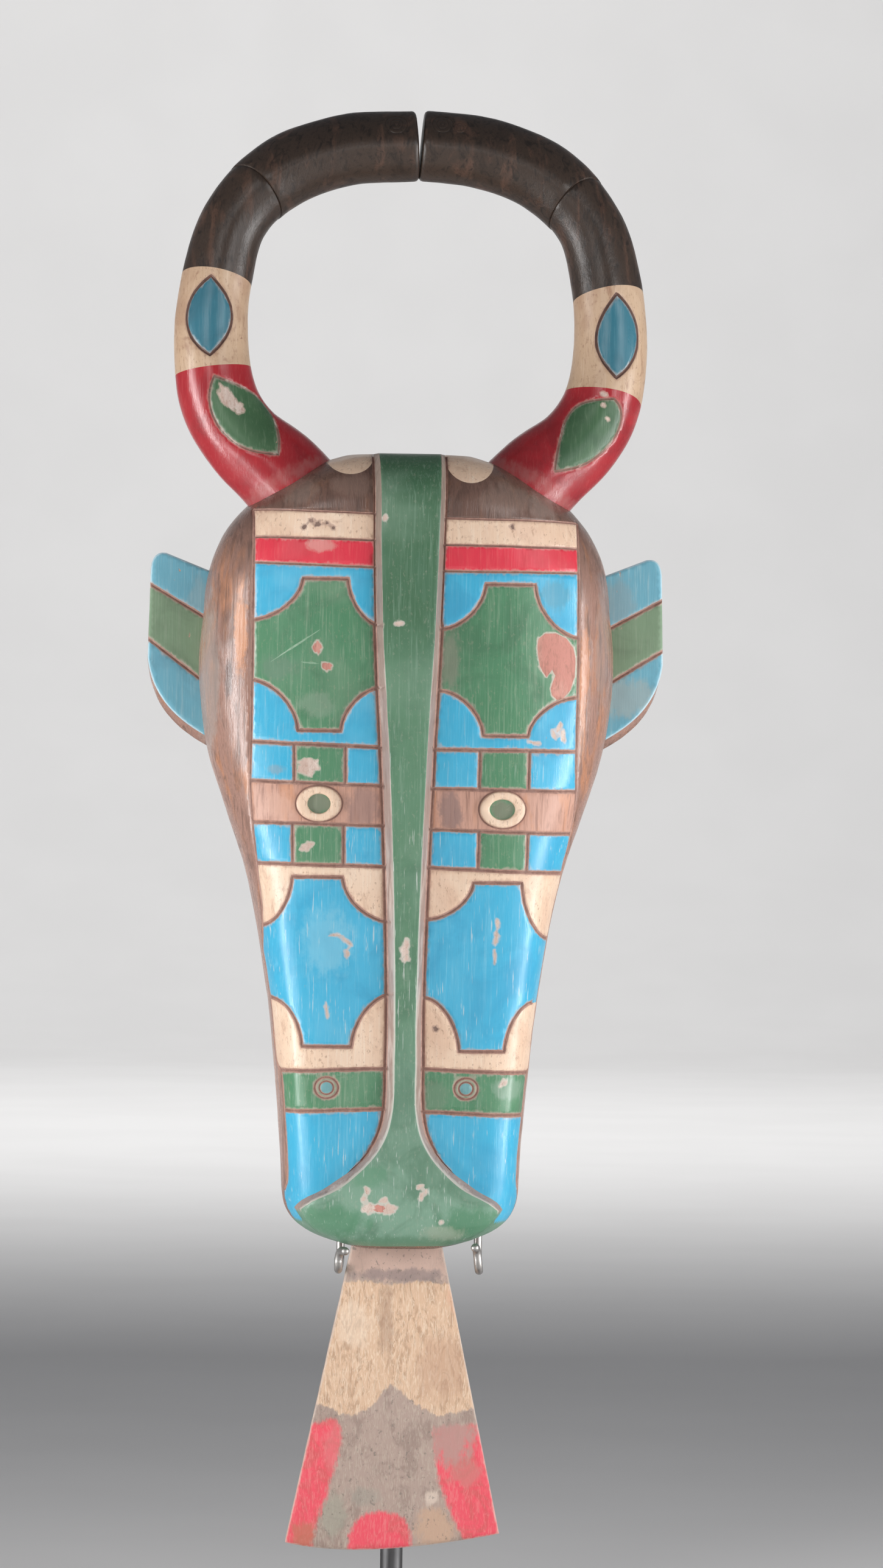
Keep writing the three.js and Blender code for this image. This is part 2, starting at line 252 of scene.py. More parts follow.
def ragged(x: float, z: float, reach_x: float, reach_z: float, tilt: float, seed: float) -> Array:
    """Uneven outline of a chip.

    Args:
        x: Middle, sideways.
        z: Middle, upwards.
        reach_x: Half-length before the tilt.
        reach_z: Half-height before the tilt.
        tilt: Turn in degrees.
        seed: Number that picks the shape.

    Returns:
        Closed outline.
    """
    count = max(8, int(2.6 * (reach_x + reach_z)))
    ring = oval(0, 0, 1, 1, count)
    ring *= (0.9 + 0.55 * flutter(ring, 0.45, seed))[:, None]
    sine, cosine = math.sin(math.radians(tilt)), math.cos(math.radians(tilt))
    side, up = ring[:, 0] * reach_x, ring[:, 1] * reach_z
    return pairs(x + side * cosine - up * sine, z + side * sine + up * cosine)


# Flat layouts and what is cut in them


@dataclass
class Groove:
    """Carved line."""

    line: Array
    width: float = 3.0
    depth: float = 1.0
    closed: bool = False
    slot: Slot = Slot.GROOVE
    seed: float = 0.0

    def add_to(self, chart: "Chart") -> None:
        """Lays the middle and both edges in a chart.

        Args:
            chart: Layout that it joins.
        """
        line = looped(self.line) if self.closed else self.line
        along = np.gradient(line, axis=0)
        if self.closed:
            along[0] = along[-1] = line[1] - line[-2]
        across = crosswise(along)
        chart.line(self.line, self.closed)
        for side in (-0.5, 0.5):
            wander = 1 + 0.22 * flutter(line, 5, self.seed + side)
            edge = line + across * (side * self.width * wander)[:, None]
            chart.line(edge[:-1] if self.closed else edge, self.closed)

    def reach(self, points: Array) -> Array:
        """Share of the groove at each point: 1 on its middle, 0 at its edges, below 0 for 3 mm past them.

        Args:
            points: Layout places.

        Returns:
            One value for each place.
        """
        line = looped(self.line) if self.closed else self.line
        half = self.width / 2
        apart = distance_to_line(points, line, half + 3)
        return np.maximum(np.where(apart < half, 1 - apart / half, (half - apart) / 3), -1)


@dataclass
class Patch:
    """Area of one finish inside an outline."""

    outline: Array
    slot: Slot
    sunk: float = 0.0
    drawn: bool = True


def dig(points: Array, grooves: Sequence[Groove], patches: Sequence[Patch]) -> tuple[Array, dict[str, Array]]:
    """Depth cut at each point, and how near each is to a groove or a chip.

    Args:
        points: Layout points.
        grooves: Carved lines.
        patches: Areas, of which some are sunk.

    Returns:
        Depths, and two kinds of nearness. Groove is 1 on a groove's middle, 0.5 at its edge and 0 from
        3 mm past it; chip is 1 in a chip and 0 from 2.5 mm past it.
    """
    cut, near, chipped = np.zeros((3, len(points)))
    for groove in grooves:
        share = groove.reach(points)
        cut = np.maximum(cut, groove.depth * np.sin(np.clip(share, 0, 1) * math.pi / 2))
        near = np.maximum(near, 0.5 + 0.5 * share)
    for patch in patches:
        if patch.sunk:
            within = inside(points, patch.outline)
            cut[within] = np.maximum(cut[within], patch.sunk)
            halo = np.where(within, 1, 1 - distance_to_line(points, looped(patch.outline), 2.5) / 2.5)
            chipped = np.maximum(chipped, halo)
    return cut, {"groove": near, "chip": chipped}


class Chart:
    """Flat layout of lines that one triangulation joins."""

    def __init__(self) -> None:
        """Starts with no line."""
        self.points: list[Array] = []
        self.edges: list[tuple[int, int]] = []
        self.count = 0

    def line(self, points: Array, closed: bool = False) -> None:
        """Lays a line.

        Args:
            points: N by 2 places.
            closed: Whether the last point joins the first.
        """
        start, size = self.count, len(points)
        self.points.append(points)
        self.count += size
        self.edges += [(start + i, start + i + 1) for i in range(size - 1)]
        if closed:
            self.edges.append((start + size - 1, start))

    def add(self, grooves: Sequence[Groove], patches: Sequence[Patch]) -> None:
        """Lays the lines of the grooves and the outlines of the drawn patches.

        Args:
            grooves: Carved lines.
            patches: Chips and worn places.
        """
        for groove in grooves:
            groove.add_to(self)
        for patch in patches:
            if patch.drawn:
                self.line(patch.outline, closed=True)

    def triangles(self, grid: Array, clear: float) -> tuple[Array, Array]:
        """Joins the lines and a grid.

        Args:
            grid: Free points between the lines.
            clear: A free point nearer a line than this is left out.

        Returns:
            The points, and triangles that turn counter-clockwise.
        """
        laid = np.concatenate(self.points)
        tree = kdtree.KDTree(len(laid))
        for i, (x, y) in enumerate(laid):
            tree.insert((x, y, 0), i)
        tree.balance()
        free = [p for p in grid if tree.find((p[0], p[1], 0))[2] > clear]
        places = [Vector(p) for p in (*laid, *free)]
        points, _, faces, *_ = delaunay_2d_cdt(places, self.edges, [], 0, 1e-4, False)
        return np.array(points), np.array(faces)


def paint_over(slots: Array, middle: Array, grooves: Sequence[Groove], patches: Sequence[Patch]) -> None:
    """Gives triangles with their middle in a patch or a groove its finish. Blue dots keep theirs.

    Args:
        slots: Slot numbers, changed in place.
        middle: The triangles' middles.
        grooves: Carved lines.
        patches: Chips and worn places.
    """
    for patch in patches:
        slots[inside(middle, patch.outline)] = patch.slot
    for groove in grooves:
        slots[(groove.reach(middle) > 0) & (slots != Slot.DOT_BLUE)] = groove.slot


def vertex_normals(points: Array, faces: Array) -> Array:
    """Unit normals at the points of a triangle mesh.

    Args:
        points: Places.
        faces: Triangles.

    Returns:
        One unit vector for each point.
    """
    a, b, c = (points[faces[:, i]] for i in range(3))
    lean = np.cross(b - a, c - a)
    normals = np.zeros_like(points)
    for i in range(3):
        np.add.at(normals, faces[:, i], lean)
    return normals / np.maximum(np.linalg.norm(normals, axis=1), 1e-12)[:, None]


def linked(name: str, data: bpy.types.ID, finishes: Sequence[Material] = ()) -> Object:
    """New object of the scene, with its finishes.

    Args:
        name: Its name.
        data: Its mesh, camera or light.
        finishes: Materials, in slot order.

    Returns:
        The object.
    """
    for finish in finishes:
        data.materials.append(finish)
    made = bpy.data.objects.new(name, data)
    bpy.context.scene.collection.objects.link(made)
    return made


@dataclass
class Shell:
    """Closed mesh in the making."""

    points: Array
    faces: list[list[int]]
    slots: list[int]
    marks: dict[str, Array] = field(default_factory=dict)

    def trimmed(self) -> "Shell":
        """The same shell without unused points.

        Returns:
            The smaller shell.
        """
        used = np.unique(np.concatenate([np.ravel(face) for face in self.faces]).astype(int))
        fresh = np.full(len(self.points), -1)
        fresh[used] = np.arange(len(used))
        marks = {}
        for name, values in self.marks.items():
            full = np.zeros(len(self.points))
            full[: len(values)] = values
            marks[name] = full[used]
        faces = [[int(fresh[i]) for i in face] for face in self.faces]
        return Shell(self.points[used], faces, self.slots, marks)

    def mirrored(self) -> "Shell":
        """The same shell on the other side of the mask."""
        return Shell(self.points * (-1, 1, 1), [face[::-1] for face in self.faces], self.slots, self.marks)

    def to_object(self, name: str, finishes: Sequence[Material]) -> Object:
        """Makes the Blender object, in metres.

        Args:
            name: Its name.
            finishes: Materials, in slot order.

        Returns:
            The object.
        """
        mesh = bpy.data.meshes.new(name)
        mesh.from_pydata(((self.points + (0, BACK_RIM_Y, CHIN_HEIGHT)) * MM).tolist(), [], self.faces)
        made = linked(name, mesh, finishes)
        mesh.polygons.foreach_set("material_index", self.slots)
        for mark, values in self.marks.items():
            mesh.attributes.new(mark, "FLOAT", "POINT").data.foreach_set("value", values)
        mesh.update()
        return made


def combine(base: Object, other: Object, operation: str) -> None:
    """Joins or cuts one solid with another, which is used up.

    Args:
        base: Solid that is kept.
        other: Solid that is added or taken away.
        operation: UNION or DIFFERENCE.
    """
    step = base.modifiers.new("join", "BOOLEAN")
    step.operation, step.solver, step.object = operation, "MANIFOLD", other
    made = bpy.data.meshes.new_from_object(base.evaluated_get(bpy.context.evaluated_depsgraph_get()))
    base.modifiers.clear()
    base.data = made
    bpy.data.objects.remove(other)


def smooth_shade(piece: Object, angle: float) -> None:
    """Shades a piece smooth, with edges sharper than an angle in degrees kept sharp.

    Args:
        piece: Object to shade.
        angle: Smallest sharp angle.
    """
    piece.data.polygons.foreach_set("use_smooth", [True] * len(piece.data.polygons))
    piece.data.set_sharp_from_angle(angle=math.radians(angle))
    piece.data.update()


# Head


@dataclass(frozen=True)
class HeadForm:
    """Outer form of the head, and a flat layout of it.

    A place on it is (turn, z): turn runs 0 to 1 over half the nose ridge's top, to 2 down its bevel,
    to 3 over the face and to 4 back along the side, and is negative on the left. In the flat layout
    the first length runs round a level slice and the second up the front.
    """

    height: float = 556.0
    side_depth: float = 38.0
    rim_inset: float = 5.0
    chin_corner: Four = (50, 2, 3.2, 2.2)
    crown_corner: Four = (112, 6, 2.4, 1.8)
    chin_roll: Pair = (26, 18)
    crown_roll: Pair = (40, 40)
    bevel: float = 6.3
    bevels: Profile = Profile((
        (0, 2.5), (22, 2.5), (27, 3.6), (33, 6.6), (40, 8.6), (48, 8.6), (56, 6.2), (68, 4.8), (110, 4.2),
        (330, 4.2), (390, 4), (440, 3.5), (556, 3.4),
    ))
    ridge_middles: Profile = Profile((
        (0, -2.8), (40, -2), (90, -0.8), (200, -0.8), (300, -1.2), (440, -2.1), (556, -1.6),
    ))
    rise: float = 13.0
    chin_rise: float = 8.0
    chin_reach: float = 90.0
    widest_share: float = 0.93
    half_widths: Profile = Profile((
        (0, 82), (60, 84.5), (130, 90), (200, 99), (260, 111), (305, 125.5),
        (345, 138.5), (380, 144.5), (415, 146), (450, 143), (500, 141), (560, 141),
    ))
    depths: Profile = Profile(((0, 90), (120, 96), (300, 104), (480, 108), (560, 108)))
    squareness: Profile = Profile(((0, 5), (60, 9), (200, 9), (300, 5), (400, 4.2), (560, 4.2)))
    ridge_half_widths: Profile = Profile((
        (0, 72), (24, 72), (34, 61), (42, 45), (54, 30), (68, 18), (86, 10.2), (135, 7.6),
        (253, 9.5), (341, 13.1), (442, 18.6), (556, 21.5),
    ))
    levels: int = 900
    turn_steps: int = 60
    share_steps: int = 400
    tables: dict[str, Array] = field(default_factory=dict)

    def __post_init__(self) -> None:
        """Measures the slices, for the flat layout."""
        z = self.height / 2 * (1 - np.cos(np.arange(self.levels + 1) * math.pi / self.levels))
        turn = np.linspace(0, 4, 4 * self.turn_steps + 1)
        share = np.linspace(0, 1, self.share_steps + 1)
        round_slice, turns = [], []
        for side in (-1, 1):
            x, y = self.slice_place(side * turn[None, :], z[:, None])
            step = np.hypot(np.diff(x, axis=1), np.diff(y, axis=1))
            lengths = np.hstack([np.zeros((len(z), 1)), np.cumsum(step, axis=1)])
            round_slice.append(lengths)
            turns.append([np.interp(share * row[-1], row, turn) for row in lengths])
        round_slice, turns = np.array(round_slice), np.array(turns)
        deeper, wider = np.diff(self.depth(z)), np.diff(self.half_width(z))
        climb = np.sqrt(np.diff(z) ** 2 + deeper**2 + 0.4 * wider**2)
        up = np.concatenate([[0], np.cumsum(climb)])
        self.tables.update(z=z, round_slice=round_slice, turns=turns, up=up)

    def end_share(self, from_end: Array, corner: Four) -> Array:
        """Share of the full width left near an end, where the outline turns in.

        Args:
            from_end: Distances from the end.
            corner: Reach, flat part and two powers.

        Returns:
            Share at each distance.
        """
        reach, flat, square, curve = corner
        near = np.maximum(0, 1 - (from_end + flat) / reach)
        return (1 - near**square) ** (1 / curve)

    def half_width(self, z: Array) -> Array:
        """Half-width of the outline at a height."""
        low = self.end_share(z, self.chin_corner)
        return self.half_widths(z) * low * self.end_share(self.height - z, self.crown_corner)

    def depth(self, z: Array) -> Array:
        """Depth of the face's middle in front of the back rim at a height.

        Args:
            z: Heights.

        Returns:
            Depths.
        """
        depth = self.depths(z)
        for from_end, (height, back) in ((z, self.chin_roll), (self.height - z, self.crown_roll)):
            near = np.maximum(0, 1 - from_end / height)
            depth = depth - back * (1 - np.sqrt(np.maximum(0, 1 - near**2)))
        return depth

    def dome(self, x: Array, z: Array, half_width: Array, depth: Array) -> Array:
        """Where the face lies, as y, on a dome of that half-width and depth."""
        reach = np.minimum(np.abs(x) / half_width, 1)
        return -(self.side_depth + (depth - self.side_depth) * np.sqrt(1 - reach ** self.squareness(z)))

    def ridge(self, z: Array, side: Array | int) -> tuple[Array, Array, Array]:
        """Edge of the nose ridge's top, foot of its bevel, and its height above the face, on one side.

        Args:
            z: Heights.
            side: -1 on the left, 1 on the right.

        Returns:
            The edge, the foot and the height.
        """
        top = np.minimum(self.ridge_half_widths(z), self.widest_share * self.half_width(z) - self.bevel)
        top = top + side * self.ridge_middles(z)
        near_chin = np.clip(1 - z / self.chin_reach, 0, 1)
        return top, top + self.bevels(z), self.rise + (self.chin_rise - self.rise) * near_chin

    def slice_place(self, turn: Array, z: Array) -> tuple[Array, Array]:
        """Place of a turn in the slice at a height.

        Args:
            turn: Turns round the slice.
            z: Heights.

        Returns:
            x and y.
        """
        way, side = np.abs(turn), np.where(np.signbit(turn), -1, 1)
        width, depth = self.half_width(z), self.depth(z)
        top, foot, rise = self.ridge(z, side)
        over_face = foot + (width - foot) * np.sin(np.clip(way - 2, 0, 1) * math.pi / 2)
        x = np.where(way < 1, top * way, np.where(way < 2, top + (foot - top) * (way - 1), over_face))
        x = x - self.rim_inset * np.clip(way - 3, 0, 1) ** 2
        y = self.dome(over_face, z, width, depth) - rise * np.clip(2 - way, 0, 1)
        y = np.where(way < 2, self.dome(x, z, width, depth) - rise * np.clip(2 - way, 0, 1), y)
        y = np.where(way > 3, -self.side_depth * (4 - way), y)
        return side * x, y

    def _row(self, z: Array) -> tuple[Array, Array]:
        """Table row below each height, and the share of the way to the next.

        Args:
            z: Heights.

        Returns:
            Rows and shares.
        """
        row = self.levels / math.pi * np.arccos(np.clip(1 - 2 * z / self.height, -1, 1))
        low = np.clip(row.astype(int), 0, self.levels - 1)
        return low, row - low

    def to_flat(self, turn: Array, z: Array) -> Array:
        """Layout place of a turn at a height, N by 2."""
        length = self._look_up("round_slice", turn, z, np.abs(turn) * self.turn_steps)
        return pairs(np.sign(turn) * length, np.interp(z, self.tables["z"], self.tables["up"]))

    def _look_up(self, name: str, side: Array, z: Array, column: Array) -> Array:
        """Value of a table between its rows and columns, on the side that a sign gives.

        Args:
            name: Name of the table.
            side: Values with the sign of the side.
            z: Heights.
            column: Columns, not whole.

        Returns:
            One value for each place.
        """
        low, share = self._row(z)
        table, half = self.tables[name], np.where(np.signbit(side), 0, 1)
        column = np.clip(column, 0, table.shape[2] - 1.001)
        left = column.astype(int)
        part = column - left
        return sum(
            (table[half, low + i, left] * (1 - part) + table[half, low + i, left + 1] * part) * weight
            for i, weight in ((0, 1 - share), (1, share))
        )

    def at(self, places: Array) -> Array:
        """Layout place of what shows at x and z from the front.

        Args:
            places: N by 2, x and z.

        Returns:
            N by 2 layout places.
        """
        x, z = places[:, 0], np.clip(places[:, 1], 0, self.height)
        way, width = np.abs(x), self.half_width(z)
        top, foot, _ = self.ridge(z, np.where(x < 0, -1, 1))
        over = np.clip((way - foot) / np.maximum(width - foot, 1e-6), 0, 1)
        turn = np.where(way < top, way / top, 1 + (way - top) / (foot - top))
        turn = np.where(way > foot, 2 + np.arcsin(over) * 2 / math.pi, turn)
        return self.to_flat(np.where(x < 0, -turn, turn), z)

    def slice_length(self, up: Array, side: Array) -> Array:
        """Length round one side of the slice at a layout height."""
        z = np.interp(up, self.tables["up"], self.tables["z"])
        return self._look_up("round_slice", side + 0 * up, z, np.full(len(up), 1e6))

    def from_rim(self, flat: Array) -> Array:
        """How far layout places are from the back rim."""
        return self.slice_length(flat[:, 1], flat[:, 0]) - np.abs(flat[:, 0])

    def from_flat(self, flat: Array) -> tuple[Array, Array]:
        """Turn and height of layout places.

        Args:
            flat: Layout places, N by 2.

        Returns:
            Turns and heights.
        """
        z = np.interp(flat[:, 1], self.tables["up"], self.tables["z"])
        share = np.clip(np.abs(flat[:, 0]) / self.slice_length(flat[:, 1], flat[:, 0]), 0, 1)
        turn = self._look_up("turns", flat[:, 0], z, share * self.share_steps)
        return np.where(flat[:, 0] < 0, -turn, turn), z


def scoop(end: Pair, side: Pair, count: int = 12, square: float = 1.75) -> list[Pair]:
    """Curve that cuts a corner inwards, from an end of the top or bottom line to the side.

    Args:
        end: Where it leaves the top or bottom line.
        side: Where it meets the side.
        count: Number of steps.
        square: Power of the curve; 2 is an ellipse.

    Returns:
        Points from end to side.
    """
    run = []
    for i in range(count + 1):
        turn = math.pi / 2 * i / count
        across, down = math.cos(turn) ** (2 / square), math.sin(turn) ** (2 / square)
        run.append((side[0] + (end[0] - side[0]) * across, end[1] + (side[1] - end[1]) * down))
    return run


@dataclass(frozen=True)
class Scoop:
    """Panel shape with four corners cut inwards. Sideways places are distances from the middle."""

    inner_top: Pair
    top: Triple
    outer_top: Pair
    outer_low: Pair
    low: Triple
    inner_low: Pair

    def cuts(self) -> tuple[list[Pair], list[Pair]]:
        """Upper and lower carved line, each from the ridge to the edge.

        Returns:
            The upper and the lower line.
        """
        inner, outer, z = self.top
        upper = scoop((inner, z), self.inner_top)[::-1] + scoop((outer, z), self.outer_top)
        inner, outer, z = self.low
        lower = scoop((inner, z), self.inner_low)[::-1] + scoop((outer, z), self.outer_low)
        return upper, lower


@dataclass(frozen=True)
class Cheek:
    """Painted bands and panels on one side of the nose ridge.

    Each level is a pair of heights, beside the ridge and at the outer edge.
    """

    side: int
    edge: Profile
    muzzle_rim: float
    levels: tuple[Pair, ...]
    dividers: tuple[Pair, Pair]
    eye: tuple[Pair, Pair, Pair]
    dot: Pair
    upper: Scoop
    lower: Scoop
    blob: Four
    inner_x: float = 20.0
    width: float = 92.0
    rim: float = 1.6
    muzzle: Pair = (36, 121)

    def level(self, number: int, x: Array) -> Array:
        """Height of a band's lower border at distances from the middle."""
        inner, outer = self.levels[number]
        return inner + (outer - inner) * (x - self.inner_x) / self.width

    def lay(self, form: HeadForm, run: Sequence[Pair] | Array) -> Array:
        """Layout places of a run on this side of the ridge."""
        return form.at(np.asarray(run, float) * (self.side, 1))

    def edge_at(self, form: HeadForm, z: Array) -> Array:
        """Distance of the panel's outer edge from the middle at heights.

        Args:
            form: Form of the head.
            z: Heights.

        Returns:
            Distances.
        """
        low, high = self.muzzle
        muzzle = (1 - ease((z - high) / 8)) * ease((z - low) / 14)
        gap = self.rim + (self.muzzle_rim - self.rim) * muzzle
        return np.minimum(self.edge(z), form.half_width(z) - gap)


LEFT_CHEEK = Cheek(
    side=-1, muzzle_rim=4.2,
    edge=Profile((
        (0, 98.5), (238, 100.5), (255, 102.9), (272, 104.9), (295, 107.6), (323, 110.2), (345, 110),
        (560, 109.8),
    )),
    levels=(
        (512.3, 515.5), (494, 496), (475, 478), (350.2, 353.3), (323.6, 326.2), (296.1, 297.4),
        (267.4, 268.9), (126.5, 123), (98.4, 94.8),
    ),
    dividers=((44.6, 80.1), (45.1, 80.5)), eye=((62.4, 310.7), (15.7, 12.3), (8, 6.8)), dot=(54.4, 113),
    upper=Scoop(
        (20.5, 434.5), (44.3, 75.5, 467), (111.5, 438), (111.5, 396.5), (47.9, 77.8, 361.5), (19.5, 392),
    ),
    lower=Scoop((12, 229), (45.2, 80.2, 259.7), (101.5, 225), (94, 174.7), (37.5, 71.9, 141.6), (10, 178.5)),
    blob=(43.4, 554, 16.5, 14),
)
RIGHT_CHEEK = Cheek(
    side=1, muzzle_rim=3.2,
    edge=Profile((
        (0, 109), (262, 109.3), (270, 110.5), (279, 113), (291, 115.5), (300, 116.9), (317, 118.3),
        (345, 118), (560, 117),
    )),
    levels=(
        (509.8, 509.4), (491.5, 491), (473.3, 473.8), (349.5, 349.2), (322, 321.1), (293.6, 291.5),
        (266.9, 263.6), (126.4, 122.9), (96.5, 93.2),
    ),
    dividers=((49, 83.6), (49, 83.3)), eye=((65.2, 308.1), (16, 12.8), (8.9, 7)), dot=(42.7, 113.2),
    upper=Scoop((20, 433), (51.4, 86.1, 464.7), (118, 428.6), (118, 387), (50.8, 82.4, 359.3), (20, 390.3)),
    lower=Scoop(
        (13, 231), (45.5, 79.8, 257), (100.5, 218), (89.5, 173.5), (37.2, 69.2, 139.2), (12.5, 176.4),
    ),
    blob=(40.5, 552.5, 17.5, 17.5),
)
BAND_GROOVES = (
    (1.7, 0.7), (1.9, 0.9), (2.0, 0.8), (3.1, 1.1), (3.0, 1.1), (3.0, 1.1), (3.0, 1.1), (3.0, 1.1),
    (3.0, 1.1),
)


@dataclass
class MaskHead:
    """Head with its nose ridge, carved grooves and painted panels."""

    form: HeadForm = field(default_factory=HeadForm)
    spacing: float = 2.8
    hand: float = 0.55
    hand_wave: float = 34.0
    arris_reach: float = 0.9
    arris_depth: float = 0.4
    chin_rim: float = 2.4
    eye_rise: float = 1.8
    eye_round: float = 1.1
    crescent: tuple[Pair, ...] = (
        (89, 427.5), (93.7, 431.1), (101.2, 431.4), (108.9, 427.9), (113.7, 421.6), (115.4, 414.3),
        (115, 401.4), (112.2, 392.2), (107.5, 386.5), (102.8, 385), (99, 388.2), (98, 392.8),
        (99.4, 397.4), (101.2, 402), (98.7, 406), (95, 400.6), (92.2, 404.6), (90.2, 408.3),
        (88.6, 415.6), (88.2, 422.9),
    )
    chips: tuple[tuple[float, ...], ...] = (
        (-70.2, 336.6, 8.5, 5.8, 12), (-70.6, 280.5, 5.6, 2.6, 20), (-65.2, 418.8, 2.9, 4.6, 0),
        (-58.6, 406.1, 3.3, 3.1, 30), (-79.4, 420.9, 19, 0.75, 34), (-70.5, 408.4, 6, 0.7, -4),
        (104.6, 366, 1.8, 3.8, -20), (101, 360.5, 1.5, 3.2, 25), (107.6, 359.8, 1.7, 4.4, 10),
        (87.5, 354.8, 4.5, 0.9, -8), (-75.1, 502.6, 2, 1.3, 35), (-70.1, 507.2, 1.5, 1.9, 20),
        (-66.2, 504.6, 2.4, 2, 0), (-59.6, 505.6, 1.4, 1.1, -30), (-54.9, 502.4, 1.2, 1.4, -25),
        (69.5, 505.1, 1.2, 1.6, 0), (-20, 509.2, 1.6, 2.2, 0), (-9.3, 436.1, 3.2, 1.2, 10),
        (-1.6, 210.6, 2.6, 6.2, -6), (-1, 204, 2, 2.2, 0), (-25.4, 41.7, 1.4, 3, 12),
        (-23.6, 29.8, 4.6, 3.2, 12), (-10.2, 29.6, 5, 3.6, -6), (-16.6, 29.4, 4.4, 2.6, 8),
        (-13.6, 35.4, 3.2, 1.7, 25), (-27.6, 36, 1.6, 2, -20), (11.2, 45.2, 2.4, 1.3, 25),
        (12.6, 38.9, 1.4, 3, -15), (15.4, 41.6, 1, 1.6, -15), (26.7, 20.4, 1, 1.2, 0),
        (-49.6, 219.2, 4.6, 0.8, 0), (-41, 214.6, 4.2, 1.1, -42), (-41.4, 207, 1.7, 2.6, 0),
        (-55, 166, 0.7, 6, 6), (63, 229, 1.3, 4.2, 4), (62.3, 219, 1.5, 5, -3),
        (61.6, 206, 0.7, 5, 2), (21, 155, 1.6, 2, 40), (67.6, 116.6, 0.9, 3, -30),
        (70.4, 117.6, 0.9, 2.2, -35),
    )
    bare_chips: tuple[int, ...] = (2, 3, 23)
    dark_chips: tuple[int, ...] = (10, 11, 12, 13, 14, 15, 37)
    scratches: tuple[int, ...] = (4, 5)

    def carve(self) -> tuple[list[Groove], list[Patch]]:
        """Lists all that is cut or painted on the face, in the flat layout.

        Returns:
            The grooves, and the chips and worn places.
        """
        form, grooves, patches = self.form, [], []
        for cheek in (LEFT_CHEEK, RIGHT_CHEEK):
            seed = 3 + cheek.side
            for number, (width, depth) in enumerate(BAND_GROOVES):
                inner = float(form.ridge(cheek.levels[number][0], cheek.side)[1]) + 0.2
                outer = float(cheek.edge_at(form, cheek.levels[number][1]))
                x = np.linspace(inner, outer, max(2, round((outer - inner) / LINE_STEP)))
                z = cheek.level(number, x) + 0.35 * flutter(pairs(x, x), 26, seed + number)
                grooves.append(Groove(cheek.lay(form, pairs(x, z)), width, depth, seed=seed + number))
            for number, lines in zip((3, 5), cheek.dividers):
                for x in lines:
                    top, low = (float(cheek.level(number + i, x)) for i in (0, 1))
                    run = trace([(x, top), (x - 0.4, low)], LINE_STEP)
                    grooves.append(Groove(cheek.lay(form, run), 2.9, 1, seed=seed + x))
            for shape in (cheek.upper, cheek.lower):
                for number, cut in enumerate(shape.cuts()):
                    limit = cheek.edge_at(form, np.array([z for _, z in cut]))
                    run = trace([(min(x, e), z) for (x, z), e in zip(cut, limit)], LINE_STEP)
                    grooves.append(Groove(cheek.lay(form, run), 2.9, 1, seed=seed + 7 * number))
            z = np.arange(40, cheek.levels[0][1] + 0.1, LINE_STEP)
            z[-1] = cheek.levels[0][1]
            grooves.append(Groove(cheek.lay(form, pairs(cheek.edge_at(form, z), z)), 2.6, 0.9, seed=seed))
            for low, high, width in (
                (56, 62, 0.8), (62, 68, 1.5), (68, 74, 2.2), (74, 436, 2.8), (436, form.height - 1.5, 1.7),
            ):
                z = np.linspace(low, high, round((high - low) / LINE_STEP))
                foot = form.ridge(z, cheek.side)[1] + width / 2
                grooves.append(Groove(cheek.lay(form, pairs(foot, z)), width, 0.9, seed=seed + 4))
            (x, z), (reach_x, reach_z), _ = cheek.eye
            ring = oval(x, z, reach_x + 0.5, reach_z + 0.5, 46)
            grooves.append(Groove(cheek.lay(form, ring), 1.5, 0.5, True, seed=seed + 6))
            x, z = cheek.dot
            grooves.append(Groove(cheek.lay(form, oval(x, z, 8.2, 7.4, 22)), 2, 0.7, True, seed=seed))
            grooves.append(Groove(cheek.lay(form, oval(x, z, 5, 4.7, 16)), 1.5, 0.6, True, seed=seed))
            patches.append(Patch(cheek.lay(form, oval(x, z, 4.2, 3.9, 14)), Slot.DOT_BLUE))
            x, z, reach_x, reach_z = cheek.blob
            spot = np.minimum(oval(x, z, reach_x, reach_z, 44), (999, form.height - 0.01))
            patches.append(Patch(cheek.lay(form, spot), Slot.CREAM))
        for number, chip in enumerate(self.chips):
            slot = Slot.BARE_CHIP if number in self.bare_chips else Slot.CHIP
            slot = Slot.DARK_CHIP if number in self.dark_chips else slot
            slot = Slot.SCRATCH if number in self.scratches else slot
            sunk = 0 if slot == Slot.SCRATCH else 0.3
            patches.append(Patch(form.at(ragged(*chip, 2 + 1.37 * number)), slot, sunk))
        patches.append(Patch(form.at(trace(self.crescent, 3, True)), Slot.BARE_CHIP, 0.3))
        return grooves, patches

    def ring_lift(self, cheek: Cheek, x: Array, z: Array) -> tuple[Array, Array, Array]:
        """Height of the eye ring at places, and whether each is in the ring or its middle.

        Args:
            cheek: Side of the face.
            x: Sideways places.
            z: Heights.

        Returns:
            The lift, and two truth values.
        """
        (mid_x, mid_z), (out_x, out_z), (in_x, in_z) = cheek.eye
        dx, dz = x * cheek.side - mid_x, z - mid_z
        outer = (1 - np.hypot(dx / out_x, dz / out_z)) * (out_x + out_z) / 2
        inner = (np.hypot(dx / in_x, dz / in_z) - 1) * (in_x + in_z) / 2
        beads = [np.sqrt(1 - (1 - np.clip(gap / self.eye_round, 0, 1)) ** 2) for gap in (outer, inner)]
        lift = self.eye_rise * beads[0] * beads[1]
        return lift, (outer > 0) & (inner > 0), inner <= 0

